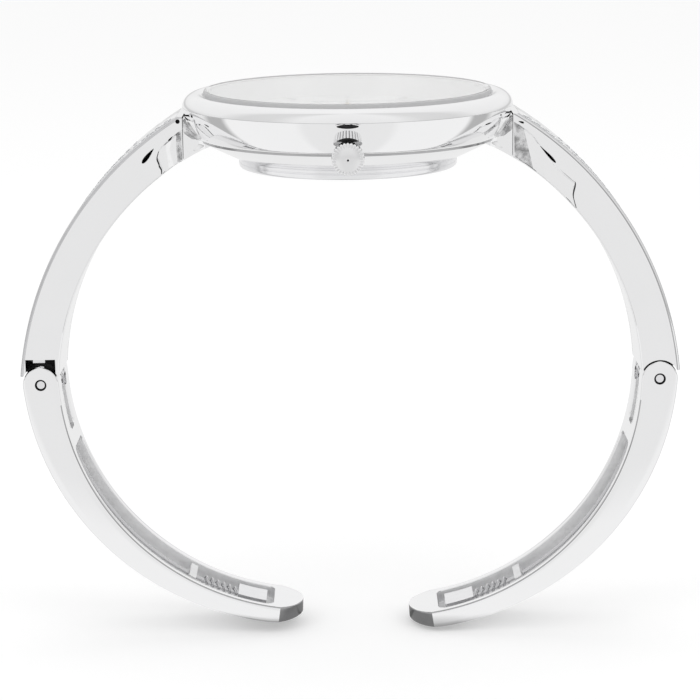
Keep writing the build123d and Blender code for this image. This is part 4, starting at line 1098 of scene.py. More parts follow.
# The plain border beside the stones' bed, the bed's two ends, and the strand's crossing: its
# middle and half its length along the left arm, all in millimetres
BORDER = 0.45
BED_START, BED_END = -28.6, -16.95
CROSSING, CROSSING_HALF = -22.0, 4.2


def outward(circle, outer, direction):
    """How far the outer circle lies outside a circle in a direction from its centre."""
    dx, dz = circle[0] - outer[0], circle[1] - outer[1]
    along = dx * direction[0] + dz * direction[1]
    return -along + math.sqrt(along ** 2 - dx ** 2 - dz ** 2 + outer[2] ** 2) - circle[2]


def upper_direction(turn):
    """The way from the upper arm's centre outwards, by turn in degrees from the hinge up."""
    return -math.cos(math.radians(turn)), math.sin(math.radians(turn))


def upper_place(turn, rise):
    """A place in the side view over the upper arm's inside, by turn in degrees and rise."""
    direction = upper_direction(turn)
    reach = UPPER_IN[2] + rise
    return UPPER_IN[0] + reach * direction[0], UPPER_IN[1] + reach * direction[1]


def upper_thickness(turn):
    """The upper arm's thickness between its two arcs."""
    return outward(UPPER_IN, UPPER_OUT, upper_direction(turn))


def strand_middle(x):
    """Where the polished strand's middle lies across the arm at a place along it."""
    share = max(-1.0, min(1.0, (x - CROSSING) / CROSSING_HALF))
    return in_mm(arms().strand_sway) * math.sin(share * math.pi / 2)


def outside_line(x, thick):
    """The upper arm's outside from the crown side to the far side at one section."""
    s = arms()
    half, strand = in_mm(s.half_width), in_mm(s.strand_half_width)
    border, middle = half - BORDER, strand_middle(x)
    zone = eased((x - BED_START) / 1.6) * eased((BED_END - x) / 0.35)
    crown = 0.2 * zone
    near, far = max(middle - strand, -border), min(middle + strand, border)
    line = []
    for edge, inner in ((-border, near), (border, far)):
        width = abs(inner - edge)
        sunk = in_mm(s.relief) * zone * eased(width / 0.5)
        step = min(0.07, width / 4) * (1 if edge < 0 else -1)
        rim = edge - 0.06 * (1 if edge < 0 else -1)
        part = [(rim, thick), (edge + step / 2, thick - sunk * 0.8), (edge + step, thick - sunk),
                ((edge + inner) / 2, thick - sunk), (inner - step, thick - sunk),
                (inner - step / 2, thick - sunk * 0.8 - crown * 0.2)]
        line.append(part if edge < 0 else part[::-1])
    ridge = []
    for k in range(13):
        share = k / 12
        y = near + (far - near) * share
        ridge.append((y, thick - crown * abs(2 * share - 1) ** 2.4))
    return line[0] + ridge + line[1]


# The fold's edge line per side: place along the arm for a share of the arm's thickness
FOLD_EDGE = {-1: ((0, -18.6), (0.1, -18.57), (0.24, -18.8), (0.41, -19.0), (0.575, -18.77),
                  (1, -18.4)),
             1: ((0, -22.8), (0.2, -22.45), (0.465, -22.65), (0.62, -22.15), (1, -21.6))}
# How thick the deck over the fold is per side, for places along the arm
DECK = {-1: ((-30, 1.9), (-18.8, 1.9), (-17.6, 1.5), (-16.4, 1.3)),
        1: ((-30, 1.75), (-22.2, 1.75), (-20.8, 2.05), (-19, 1.5), (-17.7, 1.0), (-16.4, 0.9))}
# How far before the joint the fold is at its full depth, and how drawn out its end is, per side
FOLD_LEVEL = {-1: 0.8, 1: 1.6}
FOLD_FADE = {-1: 1.0, 1: 2.2}
# The fold's beginning and end: the offset along the arm, the share of its depth there, and the
# finish of what follows: 1 is a dark painted shadow line at the fold's edge, 2 is patchy painted
# shade on the fold's end
FOLD_START = ((-0.3, 0, 0), (-0.12, 0, 0), (-0.04, 0.03, 1), (0.01, 0.3, 1), (0.06, 0.75, 0),
              (0.12, 0.96, 0), (0.2, 1, 0), (0.35, 1.02, 0))
FOLD_END = ((0.62, 0.98, 2), (0.52, 0.92, 2), (0.42, 0.8, 2), (0.33, 0.6, 2), (0.24, 0.36, 2),
            (0.15, 0.14, 2), (0.08, 0.03, 2), (0.03, 0, 0), (0, 0, 0))
# A section's columns that can show the fold. A column and its mirrored one add up to the count
# of columns and the offset
FLANK_COLUMNS, MIRROR_OFFSET = range(8, 21), 3
# About the middle of the arm's thickness, over its inside
MID_RISE = 2.0
# Painted shade along the long edges' round per side, by the section's column: shaded and satin
# steel stand for the lines that the round reflects
EDGE_SHADE = {-1: {27: 4, 28: 4, 29: 4, 30: 4}, 1: {27: 3, 29: 4, 30: 3, 31: 3}}


def between(stops, place):
    """The value at a place on a line of stops, with soft bends."""
    if place <= stops[0][0]:
        return stops[0][1]
    for (a, low), (b, high) in zip(stops, stops[1:]):
        if place <= b:
            return low + (high - low) * eased((place - a) / (b - a))
    return stops[-1][1]


def station_turn(side, turn, share, rise):
    """The turn of one place of a section, which stands upright near the joint."""
    edge = JOINT_X - fold_reach(side)
    x = upper_place(turn, MID_RISE)[0]
    upright = eased(1 - (edge - x) / 5.5)
    if upright <= 0:
        return turn
    sway = between(FOLD_EDGE[side], share) - edge
    target = x + sway * math.exp(-((x - edge) / 1.4) ** 2)
    if side > 0:
        gap = JOINT_X - x
        target -= gap * (0.5 - share) * (1 - eased((gap - 1.4) / 2.6))
    reach = UPPER_IN[2] + rise
    straight = math.degrees(math.acos((UPPER_IN[0] - target) / reach))
    return turn + upright * (straight - turn)


def fold_reach(side):
    """How far the fold of one side reaches from the joint, in millimetres."""
    return in_mm(arms().left_fold if side < 0 else arms().right_fold)


def flank_line(thick, deck, half, edge, inner):
    """The near flank from the inside up to the outside, and the round over it."""
    rises = [inner + (thick - deck - 0.4 - inner) * k / 9 for k in range(10)]
    rises += [thick - deck - d for d in (0.3, 0.22, 0.14, 0.07, 0.02, -0.02)]
    rises += [thick - deck * share for share in (0.8, 0.55, 0.3)]
    line = []
    for degrees in (20, 45, 70):
        a = math.radians(degrees)
        line.append((-half + inner - inner * math.sin(a), inner - inner * math.cos(a)))
    line += [(-half + 0.06 * (2 * rise / thick - 1) ** 2, rise) for rise in rises]
    for degrees in (0, 22, 45, 68, 90):
        a = math.radians(degrees)
        line.append((-half + edge - edge * math.cos(a), thick - edge + edge * math.sin(a)))
    return line


def upper_section(side, turn, fold):
    """One closed section of the upper arm as places in space."""
    s = arms()
    half, edge, inner = in_mm(s.half_width), in_mm(s.edge_round), 0.15
    thick = upper_thickness(turn)
    thick = upper_thickness(station_turn(side, turn, 1.0, thick))
    x = upper_place(station_turn(side, turn, 1.0, thick), thick)[0]
    deck = between(DECK[side], x)
    near = flank_line(thick, deck, half, edge, inner)
    loop = [((half - inner) * -share, 0, 1) for share in (-1, -0.5, 0, 0.5, 1)]
    loop += [(y, rise, 1) for y, rise in near]
    loop += [(y, rise, 0) for y, rise in outside_line(x, thick)]
    loop += [(-y, rise, -1) for y, rise in reversed(near)]
    places = []
    for y, rise, way in loop:
        sunk = fold * eased((thick - deck - rise) / 0.26) if 0 < rise else 0
        if rise == 0 and abs(y) > half - inner - 0.01:
            sunk = fold
            way = -1 if y > 0 else 1
        px, pz = upper_place(station_turn(side, turn, rise / thick, rise), rise)
        places.append((px, y + way * sunk, pz))
    return places


def fold_stations(side, depth):
    """Turns along the upper arm, each with the fold's depth and the mark of what follows."""
    middle = UPPER_IN[2] + MID_RISE
    edge = JOINT_X - fold_reach(side)

    def turn_at(x):
        return math.degrees(math.acos((UPPER_IN[0] - x) / middle))
    stations = [(1.5 + k * 1.1, 0, 0) for k in range(20)]
    last = stations[-1][0]
    stop = turn_at(edge - 0.5)
    count = max(2, int((stop - last) / 0.55))
    stations += [(last + (stop - last) * (k + 1) / count, 0, 0) for k in range(count)]
    shallow = 0.45 * depth
    stations += [(turn_at(edge + offset), share * shallow, mark)
                 for offset, share, mark in FOLD_START]
    start, stop = edge + 0.5, JOINT_X - FOLD_LEVEL[side]
    count = max(2, int((stop - start) / 0.2))
    for k in range(count + 1):
        share = k / count
        stations.append((turn_at(start + (stop - start) * share),
                         shallow + (depth - shallow) * eased(share * 1.1), 0))
    stations += [(turn_at(JOINT_X - 0.04 - offset * FOLD_FADE[side]), share * depth, mark)
                 for offset, share, mark in FOLD_END]
    stations += [(turn_at(JOINT_X + offset), 0, 0) for offset in (0.6, 1.6, 2.6)]
    return stations


def cut_away(piece, place, normal):
    """Cuts a piece by a plane, drops what lies on the normal's side and closes the cut."""
    edit(piece)
    bpy.ops.mesh.bisect(plane_co=[value * MM for value in place], plane_no=normal,
                        use_fill=True, clear_outer=True, clear_inner=False,
                        threshold=1e-8)
    rest()


def mirrored(piece, side):
    """Turns a left piece into a right one."""
    if side > 0:
        edit(piece)
        bpy.ops.transform.resize(value=(-1, 1, 1), center_override=(0, 0, 0))
        bpy.ops.mesh.normals_make_consistent(inside=False)
        rest()
    return piece


# Small openings per side, painted dark as the shade inside them: X, Z, half length, half width
# and slope in degrees. Each goes into the flank by the same depth
SLIT_DEPTH = 0.95
SLITS = {-1: ((-19.87, 1.61, 0.97, 0.25, 51), (-17.58, 3.31, 0.36, 0.1, 47)),
         1: ((-19.88, 1.34, 1.17, 0.17, 46.7), (-17.2, 4.6, 0.3, 0.12, 18))}


def slit(opening, across):
    """One drop-shaped opening in a flank, pointed towards the head, as a cutter."""
    x, z, half, width, slope = opening
    rest()
    bpy.ops.mesh.primitive_uv_sphere_add(segments=32, ring_count=24, radius=1.0 * MM)
    drop = started("cutter")
    edit(drop)
    bpy.ops.transform.resize(value=(half, SLIT_DEPTH, width), center_override=(0, 0, 0))
    rest()
    for vertex in drop.data.vertices:
        share = (vertex.co.x / (half * MM) + 1) / 2
        vertex.co.z *= 1.15 - 0.85 * share ** 1.3
    swung(drop, "Y", math.radians(slope))
    return moved(drop, (x * MM, across * 3.8 * MM, z * MM))


def pinhole():
    """The small dot at the arm's top beside the case, as a cutter; the dot is painted dark as
    shade.
    """
    return rod_cutter(0.22, (-16.84, -4.3, 5.0), (-16.84, -3.2, 5.0), 24)


# The room over each ear's top: its two ends along the arm and its height, from the pin
POCKET = {-1: (-1.46, 1.56, 2.65), 1: (-0.3, 0.3, 1.9)}


def pocket_cutters(side):
    """The room over the ears' tops, on both sides of the tongue."""
    x, z = HINGE
    near, far, height = POCKET[side]
    cutters = []
    for low, high in ((-5.0, -1.7), (1.7, 5.0)):
        cutters.append(rod_cutter(EAR_RADIUS + 0.14, (x, low, z), (x, high, z), 96))
        cutters.append(box_cutter((x + near, low, z), (x + far, high, z + height)))
    return cutters


def word_of(side):
    """What the pieces of one side are called."""
    return "left" if side < 0 else "right"


def make_upper_arm(side):
    """One upper arm: its shell cut to length, with its hinge room, its openings and tongue."""
    word = word_of(side)
    stations = fold_stations(side, in_mm(arms().valley_depth))
    rows = [upper_section(side, turn, depth) for turn, depth, _ in stations]

    def marks(row, column):
        column = min(column, len(rows[0]) + MIRROR_OFFSET - column)
        if column in EDGE_SHADE[side]:
            return EDGE_SHADE[side][column]
        return stations[row][2] if column in FLANK_COLUMNS else 0
    arm = skin(f"{word}_upper_shell", rows, marks)
    cut_away(arm, (0, 0, HINGE[1] + 0.9), (0, 0, -1))
    cut_away(arm, (JOINT_X, 0, 0), (1, 0, 0))
    cut_away(arm, (0, 0, ARM_TOP), (0, 0, 1))
    for face in arm.data.polygons:
        if face.normal.x > 0.99 or face.normal.z > 0.999:
            face.material_index = 0
    # Painted shade: the hinge room, the slits and the pinhole are dark steel
    for cutter in pocket_cutters(side):
        carve(arm, cutter, mark=1)
    for opening in SLITS[side]:
        for across in (-1, 1):
            carve(arm, slit(opening, across), mark=1)
    if side < 0:
        carve(arm, pinhole(), mark=1)
    smooth(mirrored(arm, side), 32)
    wear_on(arm, "head", "polished_case", f"{word}_upper_arm",
            materials=[polished_steel(), painted_shadow_steel(), patchy_shade_steel(), shaded_steel(),
                       satin_steel()])
    make_tongue(side)


# The tongue in millimetres: its radius and half width, half the length of its neck and how far
# that stands over the pin per side, the hook pin's offset, half the slot's width, the hinge pin's
# bore, and the raised blocks beside the left neck: start, end and half width, low and high
TONGUE_RADIUS, TONGUE_HALF = 1.62, 1.7
NECK_HALF, NECK_TOP = 1.4, {-1: 2.63, 1: 0.95}
HOOK_X, SLOT_HALF, PIN_BORE = 1.21, 0.55, 0.52
NECK_BLOCKS = {-1: ((-0.87, 0.35, 2.6), (-1.4, -0.87, 1.9)), 1: ()}
BLOCK_LOW, BLOCK_HIGH = 2.02, 2.6


def make_tongue(side):
    """The knuckle between the ears, with the slot for the pull rod's eye."""
    x, z = HINGE
    word, hook, half = word_of(side), x + HOOK_X, TONGUE_HALF
    rest()
    bpy.ops.mesh.primitive_circle_add(vertices=64, radius=TONGUE_RADIUS * MM, fill_type="NGON")
    knuckle = started(f"{word}_tongue")
    edit(knuckle)
    bpy.ops.mesh.extrude_region_move(
        TRANSFORM_OT_translate={"value": (0, 0, 2 * half * MM)})
    swung(knuckle, "X", math.pi / 2)
    low = min(vertex.co.y for vertex in knuckle.data.vertices)
    moved(knuckle, (x * MM, -half * MM - low, z * MM))
    edit(knuckle)
    bpy.ops.mesh.normals_make_consistent(inside=False)
    rest()
    neck = box_cutter((x - NECK_HALF, -half, z), (x + NECK_HALF, half, z + NECK_TOP[side]))
    carve(knuckle, neck, "UNION")
    for start, end, reach in NECK_BLOCKS[side]:
        block = box_cutter((x + start, -reach, z + BLOCK_LOW), (x + end, reach, z + BLOCK_HIGH))
        carve(knuckle, block, "UNION")
    carve(knuckle, rod_cutter(0.5, (hook, -half, z), (hook, half, z), 48), "UNION")
    carve(knuckle, rod_cutter(PIN_BORE, (x, -3, z), (x, 3, z), 64))
    carve(knuckle, rod_cutter(0.8, (hook, -SLOT_HALF, z), (hook, SLOT_HALF, z), 48))
    carve(knuckle, box_cutter((x - 0.2, -SLOT_HALF, z - 2.2), (x + 2.2, SLOT_HALF, z - 0.66)))
    # Painted shade: the tongue's flanks inside the hinge room and its slot are dark steel
    for face in knuckle.data.polygons:
        flank = abs(face.normal.y) > 0.9 and 1.6 * MM < abs(face.center.y) < 2.5 * MM
        face.material_index = 1 if flank or abs(face.center.y) < 0.56 * MM else 0
    smooth(mirrored(knuckle, side), 32)
    wear_on(knuckle, "head", "polished_case", f"{word}_upper_arm",
            materials=[bright_steel(), painted_shadow_steel()])


# The lower arm by angle in degrees from its lowest direction: where its tip, its channel and its
# window begin and the channel ends
TIP_ANGLE, CHANNEL_START, CHANNEL_END, WINDOW_START = 3.115, 10.0, 72.5, 75.99
# How the sections crowd towards an opening's end, in degrees from it
CORNER_STEPS = (0.0, 0.06, 0.2, 0.5, 0.9, 1.4, 2.03)
# The tip's end and how far its round reaches, and how much slimmer the tips are, in millimetres
TIP_X, TIP_ROUND, TIP_SLIM = -5.55, 2.3, 0.34
# The pull rod's place over the arm's inside and the bore of its tunnel
ROD_RISE, ROD_BORE = 0.64, 0.36
# Half the gap between the ears, and the hinge pin's head: its radius and where it begins
EAR_GAP, HEAD_RADIUS, HEAD_START = 1.78, 0.59, 3.85


def lower_place(angle, rise):
    """A place over the lower arm's inside, by angle from its lowest direction and rise."""
    a = math.radians(angle)
    reach = LOWER_IN[2] + rise
    return LOWER_IN[0] - reach * math.sin(a), LOWER_IN[1] - reach * math.cos(a)


def lower_thickness(angle):
    """The lower arm's thickness between its two arcs, slimmed towards the tip."""
    a = math.radians(angle)
    slim = TIP_SLIM * max(0.0, 1 - (angle - 3.1) / 8) ** 1.6
    return outward(LOWER_IN, LOWER_OUT, (-math.sin(a), -math.cos(a))) - slim


def lower_section(thick, place, half, width, depth):
    """One closed section of the lower arm with its channel, whose rises a function places."""
    inner, outer = min(0.17, thick * 0.2), min(0.2, thick * 0.28)
    inner, outer = min(inner, half / 4), min(outer, half / 4)
    width = min(width, half - inner - 0.2) if half > inner + 0.25 else half * 0.5
    depth = max(0.0, min(depth, thick - 0.3))
    soft = min(0.3, depth * 0.3)
    lip = min(0.12, depth * 0.3)
    line = [(0, depth), (width * 0.5, depth), (width - soft, depth),
            (width - soft * 0.3, depth - soft * 0.3), (width, depth - soft),
            (width, depth / 2), (width, lip), (width + lip * 0.3, lip * 0.3),
            (width + lip, 0)]
    rim = half - inner
    line += [((width + lip + rim) / 2, 0), (rim, 0)]
    for degrees in (18, 36, 54, 72):
        a = math.radians(degrees)
        line.append((rim + inner * math.sin(a), inner - inner * math.cos(a)))
    for share in (0, 0.2, 0.4, 0.6, 0.8, 1):
        line.append((half, inner + (thick - outer - inner) * share))
    for degrees in (18, 36, 54, 72):
        a = math.radians(degrees)
        line.append((half - outer + outer * math.cos(a), thick - outer + outer * math.sin(a)))
    for share in (0.9, 0.7, 0.45, 0.2):
        line.append(((half - outer) * share, thick))
    line.append((0, thick))
    loop = line + [(-y, rise) for y, rise in reversed(line[1:-1])]
    return [(place(rise)[0], y, place(rise)[1]) for y, rise in loop]


def tip_limit(distance, half):
    """How wide the rounded tip lets the arm be at a distance from its end, as a half width."""
    if distance >= TIP_ROUND:
        return math.inf
    radius = (half ** 2 + TIP_ROUND ** 2) / (2 * TIP_ROUND)
    return math.sqrt(max(0.0, radius ** 2 - (radius - distance) ** 2))


def hollow_at(angle):
    """The channel's or window's half width and whether it is open at an angle."""
    s = arms()
    reach = LOWER_IN[2]
    if CHANNEL_START <= angle <= CHANNEL_END:
        edge = min(angle - CHANNEL_START, CHANNEL_END - angle) * math.pi / 180 * reach
        width, corner = in_mm(s.channel_half_width), 0.9
    elif angle >= WINDOW_START:
        edge = (angle - WINDOW_START) * math.pi / 180 * reach
        width, corner = in_mm(s.window_half_width), 0.6
    else:
        return in_mm(s.window_half_width), 0
    if edge < corner:
        width -= corner - math.sqrt(corner ** 2 - (corner - edge) ** 2)
    return width, 1


def lower_angles():
    """Angles of the lower arm's sections, close together where its shape changes."""
    angles = [TIP_ANGLE, 3.2, 3.35, 3.6, 4.0, 4.5, 5.2, 6.0, 7.0, 8.0, 8.35, 9.0, 9.6, 9.85]
    angles += [CHANNEL_START + step for step in CORNER_STEPS]
    first, last, count = CHANNEL_START + 2.6, CHANNEL_END - 2.6, 40
    angles += [first + (last - first) * k / count for k in range(count + 1)]
    angles += [CHANNEL_END - step for step in reversed(CORNER_STEPS)]
    angles += [CHANNEL_END + step for step in (0.3, 1.2, 2.3)] + [75.7]
    angles += [WINDOW_START + step for step in CORNER_STEPS]
    angles += [79.0, 80.5, 82.0, 83.5, 85.0, 86.2, 87.2, 88.0]
    return angles


def lower_rows():
    """All sections of the left lower arm from its tip to the ears' tops."""
    s = arms()
    full, tip_half = in_mm(s.half_width), in_mm(s.tip_half_width)
    rows, lowest = [], 48.1
    for angle in lower_angles():
        thick = lower_thickness(angle)
        x, z = lower_place(angle, 0)
        share = max(0.0, min(1.0, (z + lowest) / (lowest + HINGE[1])))
        half = tip_half + (full - tip_half) * share
        half = max(0.05, min(half, tip_limit(TIP_X - x, tip_half)))
        width, is_open = hollow_at(angle)
        deep = thick - in_mm(s.floor_thickness)
        depths = [deep * is_open]
        if angle in (CHANNEL_START, WINDOW_START):
            depths = [0.0, deep]
        elif angle == CHANNEL_END:
            depths = [deep, 0.0]
        for depth in depths:
            rows.append(lower_section(thick, partial(lower_place, angle), half, width, depth))
    return rows + ear_rows(full)


def ear_rows(full):
    """Sections across the ears' round tops."""
    x, z = HINGE
    rows = []
    for degrees in (0, 10, 20, 30, 40, 50, 60, 70, 78, 84, 88):
        a = math.radians(degrees)
        height, reach = EAR_RADIUS * math.sin(a), EAR_RADIUS * math.cos(a)

        def place(rise, x=x + reach, z=z + height):
            return x - rise, z
        rows.append(lower_section(2 * reach, place, full, 1.3, 0.0))
    return rows


def rod_tunnel():
    """The round way for the pull rod through the bridge, as a cutter."""
    rest()
    bpy.ops.mesh.primitive_torus_add(major_radius=(LOWER_IN[2] + ROD_RISE) * MM,
                                     minor_radius=ROD_BORE * MM,
                                     major_segments=240, minor_segments=24,
                                     rotation=(math.pi / 2, 0, 0),
                                     location=(LOWER_IN[0] * MM, 0, LOWER_IN[1] * MM))
    ring = started("cutter")
    for angle, sign in ((CHANNEL_END - 1.0, 1), (77.0, -1)):
        a = math.radians(angle)
        x, z = lower_place(angle, ROD_RISE)
        cut_away(ring, (x, 0, z), (sign * math.cos(a), 0, -sign * math.sin(a)))
    return ring


def make_lower_arm(side):
    """One lower arm: its shell, the gap between its ears, the pin's bores and the rod's way."""
    word = word_of(side)
    x, z = HINGE
    arm = skin(f"{word}_lower_shell", lower_rows())
    carve(arm, box_cutter((x - 4, -EAR_GAP, z - 1.2), (x + 4, EAR_GAP, z + 4)))
    carve(arm, rod_cutter(1.82, (x, -EAR_GAP, z), (x, EAR_GAP, z), 96))
    mark_floor(arm)
    # Painted shade: the pin's bores and the rod's way are dark steel
    carve(arm, rod_cutter(PIN_BORE, (x, -5, z), (x, 5, z), 64), mark=2)
    for low, high in ((-5, -HEAD_START), (HEAD_START, 5)):
        carve(arm, rod_cutter(HEAD_RADIUS, (x, low, z), (x, high, z), 64), mark=2)
    carve(arm, rod_tunnel(), mark=2)
    swung(arm, "Y", math.radians(CLOSED[side]), (x * MM, 0, z * MM))
    smooth(mirrored(arm, side), 24)
    wear_on(arm, f"{word}_lower", "polished_case", f"{word}_lower_arm",
            materials=[polished_steel(), cast_steel(), painted_shadow_steel(), shaded_steel()])


def mark_floor(arm):
    """Marks the cast floor of the channel and window, and paints shade on the rim and tip end."""
    for face in arm.data.polygons:
        dx = in_mm(face.center.x) - LOWER_IN[0]
        dz = in_mm(face.center.z) - LOWER_IN[1]
        rise = math.hypot(dx, dz) - LOWER_IN[2]
        angle = math.degrees(math.atan2(-dx, -dz))
        inside = abs(in_mm(face.center.y)) < 2.9 and 0.35 < rise and 9.9 < angle < 86
        thick = lower_thickness(max(3.2, min(88, angle)))
        floor = inside and rise < thick - 0.45
        # Painted shade on the rims' round and on the tip's end
        rim = (0.015 < rise < 0.11 and abs(in_mm(face.center.y)) > 3.0 and angle < 84
               and 0.25 < abs(face.normal.y) < 0.97)
        end = face.normal.x > 0.3 and angle < 9.5 and not inside
        face.material_index = 1 if floor else 3 if end or rim else 0


# The stones in millimetres: their pitch along the arm, half their width, the gap to their
# neighbours, the first and last place along the left arm, and the rows on each side of its middle
STONE_PITCH, STONE_HALF, STONE_GAP = 1.02, 0.46, 0.06
STONES_START, STONES_END, SIDE_ROWS = -28.3, -17.1, 3


def stone_places():
    """Places across and along the left arm for its stones, which leave the strand free."""
    s = arms()
    x0, radius = UPPER_OUT[0], UPPER_OUT[2] - in_mm(s.relief)
    pitch, half, gap = STONE_PITCH, STONE_HALF, STONE_GAP
    start = math.asin((STONES_START + pitch - x0) / radius)
    stop = math.asin((STONES_END - pitch / 2 - x0) / radius)
    count = int((stop - start) * radius / pitch)
    limit = in_mm(s.half_width) - BORDER - half - gap
    places = []
    for row in range(2 * SIDE_ROWS + 1):
        y = -limit + limit * row / SIDE_ROWS
        for step in range(count):
            lean = start + (stop - start) * (step + row % 2 / 2) / (count - 0.5)
            x = x0 + radius * math.sin(lean)
            if abs(y - strand_middle(x)) > in_mm(s.strand_half_width) + half + gap:
                z = UPPER_OUT[1] + radius * math.cos(lean)
                places.append(((x + 0.01 * math.sin(lean), y, z + 0.01 * math.cos(lean)),
                               lean, 0))
    return places


def make_stones(side):
    """The cut stones of one arm: a girdle, eight facets and a table each."""
    word = word_of(side)
    cut = turned("stone", [(0.42, 0), (0.455, 0.04), (0.445, 0.12), (0.25, 0.37)], 8,
                 closed=False)
    stones = joined(f"{word}_cut_stones", copied(cut, stone_places()))
    wear_on(mirrored(stones, side), "head", "stone_glass", f"{word}_pave_stones",
            materials=[stone_glass()])


class WATCH_OT_stones(bpy.types.Operator):
    """Makes the cut stones of both arms"""
    bl_idname = "watch.stones"
    bl_label = "Stones"

    def execute(self, context):
        for side in (-1, 1):
            make_stones(side)
        return {"FINISHED"}


class WATCH_OT_upper_arms(bpy.types.Operator):
    """Makes the two upper arms with their crossing strands and tongues"""
    bl_idname = "watch.upper_arms"
    bl_label = "Upper arms"

    def execute(self, context):
        for side in (-1, 1):
            make_upper_arm(side)
        return {"FINISHED"}


class WATCH_OT_lower_arms(bpy.types.Operator):
    """Makes the two sprung lower arms with their channels"""
    bl_idname = "watch.lower_arms"
    bl_label = "Lower arms"

    def execute(self, context):
        for side in (-1, 1):
            make_lower_arm(side)
        return {"FINISHED"}


# Hidden and small pieces that keep their solids

# Which solids have which finish; all the others are satin steel
FINISHED_NODES = {
    soft_seal: ("crystal_gasket", "case_back_gasket", "crown_gasket"),
    pale_plastic: ("movement_holder",),
    dark_plastic: ("timing_chip",),
    board_lacquer: ("circuit_board",),
    coil_copper: ("motor_coil",),
    gold_plate: ("main_plate", "train_bridge"),
    brass: ("seconds_wheel", "third_wheel", "intermediate_wheel", "centre_wheel",
            "cannon_pinion", "minute_wheel", "hour_wheel", "setting_wheel"),
    dial_lacquer: ("dial", "dial_ring"),
    bright_steel: ("left_slider_block", "right_slider_block", "left_hinge_pin",
                   "right_hinge_pin"),
    cast_steel: ("left_spring_stop", "right_spring_stop"),
}


class WATCH_OT_solids(bpy.types.Operator):
    """Gives every solid its finish"""
    bl_idname = "watch.solids"
    bl_label = "Carried-over solids"

    def execute(self, context):
        makers = {name: maker for maker, names in FINISHED_NODES.items() for name in names}
        for name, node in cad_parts.items():
            node.data.materials.clear()
            node.data.materials.append(makers.get(name, satin_steel)())
        return {"FINISHED"}


# Stage

# The soft panels that the steel mirrors, in the floor and in the sky: degrees from the front
# round to the back, and the grey there
FLOOR_PANELS = ((0, 0.87), (180, 0.9), (30, 0.88), (37, 0.96), (92, 0.97), (98, 0.5),
                (112, 0.5), (120, 0.86))
SKY_PANELS = ((0, 0.93), (180, 1.0), (35, 0.95), (55, 0.8), (80, 0.78), (100, 0.95))
# The sky's greys by height, from straight below at 0 to straight above at 1
SKY_BELT = ((0.49, 0.8), (1.0, 0.97), (0.5, 0.66), (0.52, 0.66), (0.55, 0.87), (0.62, 0.93))
# The floor lies this far under the object, and shows the steel a painted shadow within these half
# sizes in millimetres, with an edge this soft
FLOOR_GAP, SHADED_PATCH, PATCH_EDGE = 0.2, (("X", 15.0), ("Y", 9.0)), 4
# Each lamp's name, place and size in metres
LAMPS = (("lamp_left", (-0.3, -0.25, 0.3), 0.25), ("lamp_right", (0.3, -0.25, 0.3), 0.25),
         ("lamp_top", (0, 0.05, 0.45), 0.35))


def make_camera(s):
    """The camera of the photograph."""
    rest()
    bpy.ops.object.camera_add(location=s.camera_place)
    camera = bpy.context.object
    camera.name = "photo_camera"
    aim = Vector(s.camera_aim) - Vector(s.camera_place)
    look = aim.to_track_quat("-Z", "Y")
    camera.rotation_euler = look.to_euler()
    camera.rotation_euler.rotate_axis("Z", s.camera_roll)
    camera.data.lens = s.lens
    camera.data.sensor_width = 36
    camera.data.clip_start = 0.01
    camera.data.clip_end = 20
    bpy.context.scene.camera = camera


def filled(ramp, stops):
    """Gives a ramp its grey stops, each a position and a value, and its colour."""
    elements = ramp.color_ramp.elements
    for index, (position, value) in enumerate(stops):
        element = elements[index] if index < 2 else elements.new(position)
        element.position = position
        element.color = (value, value, value, 1)
    return ramp.outputs["Color"]


def panels(tree, place, stops):
    """Grey values round Z, from the front over the sides to the back."""
    parts = put(tree, "ShaderNodeSeparateXYZ", {"Vector": place})
    across = maths(tree, "ABSOLUTE", parts.outputs["X"])
    ahead = maths(tree, "MULTIPLY", parts.outputs["Y"], -1.0)
    turn = maths(tree, "DIVIDE", maths(tree, "ARCTAN2", across, ahead), math.pi)
    ramp = put(tree, "ShaderNodeValToRGB", {"Fac": turn})
    return filled(ramp, [(degrees / 180, value) for degrees, value in stops])


def floor_material():
    """A white floor that keeps the object's shadow and shows the steel soft grey panels and a
    painted shadow under the object.
    """
    material, tree, shader = blank("white_floor")
    tree.nodes.remove(shader)
    out = tree.nodes["Material Output"]
    path = put(tree, "ShaderNodeLightPath")
    seen = maths(tree, "MAXIMUM", path.outputs["Is Camera Ray"],
                 path.outputs["Is Transmission Ray"])
    paper = put(tree, "ShaderNodeBsdfDiffuse", Color=(0.86, 0.86, 0.86, 1))
    lift = put(tree, "ShaderNodeEmission", Color=(1, 1, 1, 1))
    tree.links.new(maths(tree, "MULTIPLY", seen, 0.22), lift.inputs["Strength"])
    both = put(tree, "ShaderNodeAddShader")
    tree.links.new(paper.outputs[0], both.inputs[0])
    tree.links.new(lift.outputs[0], both.inputs[1])
    place = put(tree, "ShaderNodeTexCoord").outputs["Object"]
    grey = panels(tree, place, FLOOR_PANELS)
    parts = put(tree, "ShaderNodeSeparateXYZ", {"Vector": place})
    mask = None
    for axis, half in SHADED_PATCH:
        far = maths(tree, "ABSOLUTE", parts.outputs[axis])
        edge = maths(tree, "MULTIPLY_ADD", far, -1 / (PATCH_EDGE * MM), half / PATCH_EDGE)
        edge.node.use_clamp = True
        mask = edge if mask is None else maths(tree, "MULTIPLY", mask, edge)
    # Painted shadow under the object, which only the steel's reflections show
    shade = maths(tree, "MULTIPLY_ADD", mask, -0.6, 0.98)
    mirror = put(tree, "ShaderNodeEmission", {"Color": grey, "Strength": shade})
    whole = mixed(tree, path.outputs["Is Glossy Ray"], both, mirror)
    tree.links.new(whole.outputs[0], out.inputs["Surface"])
    return material


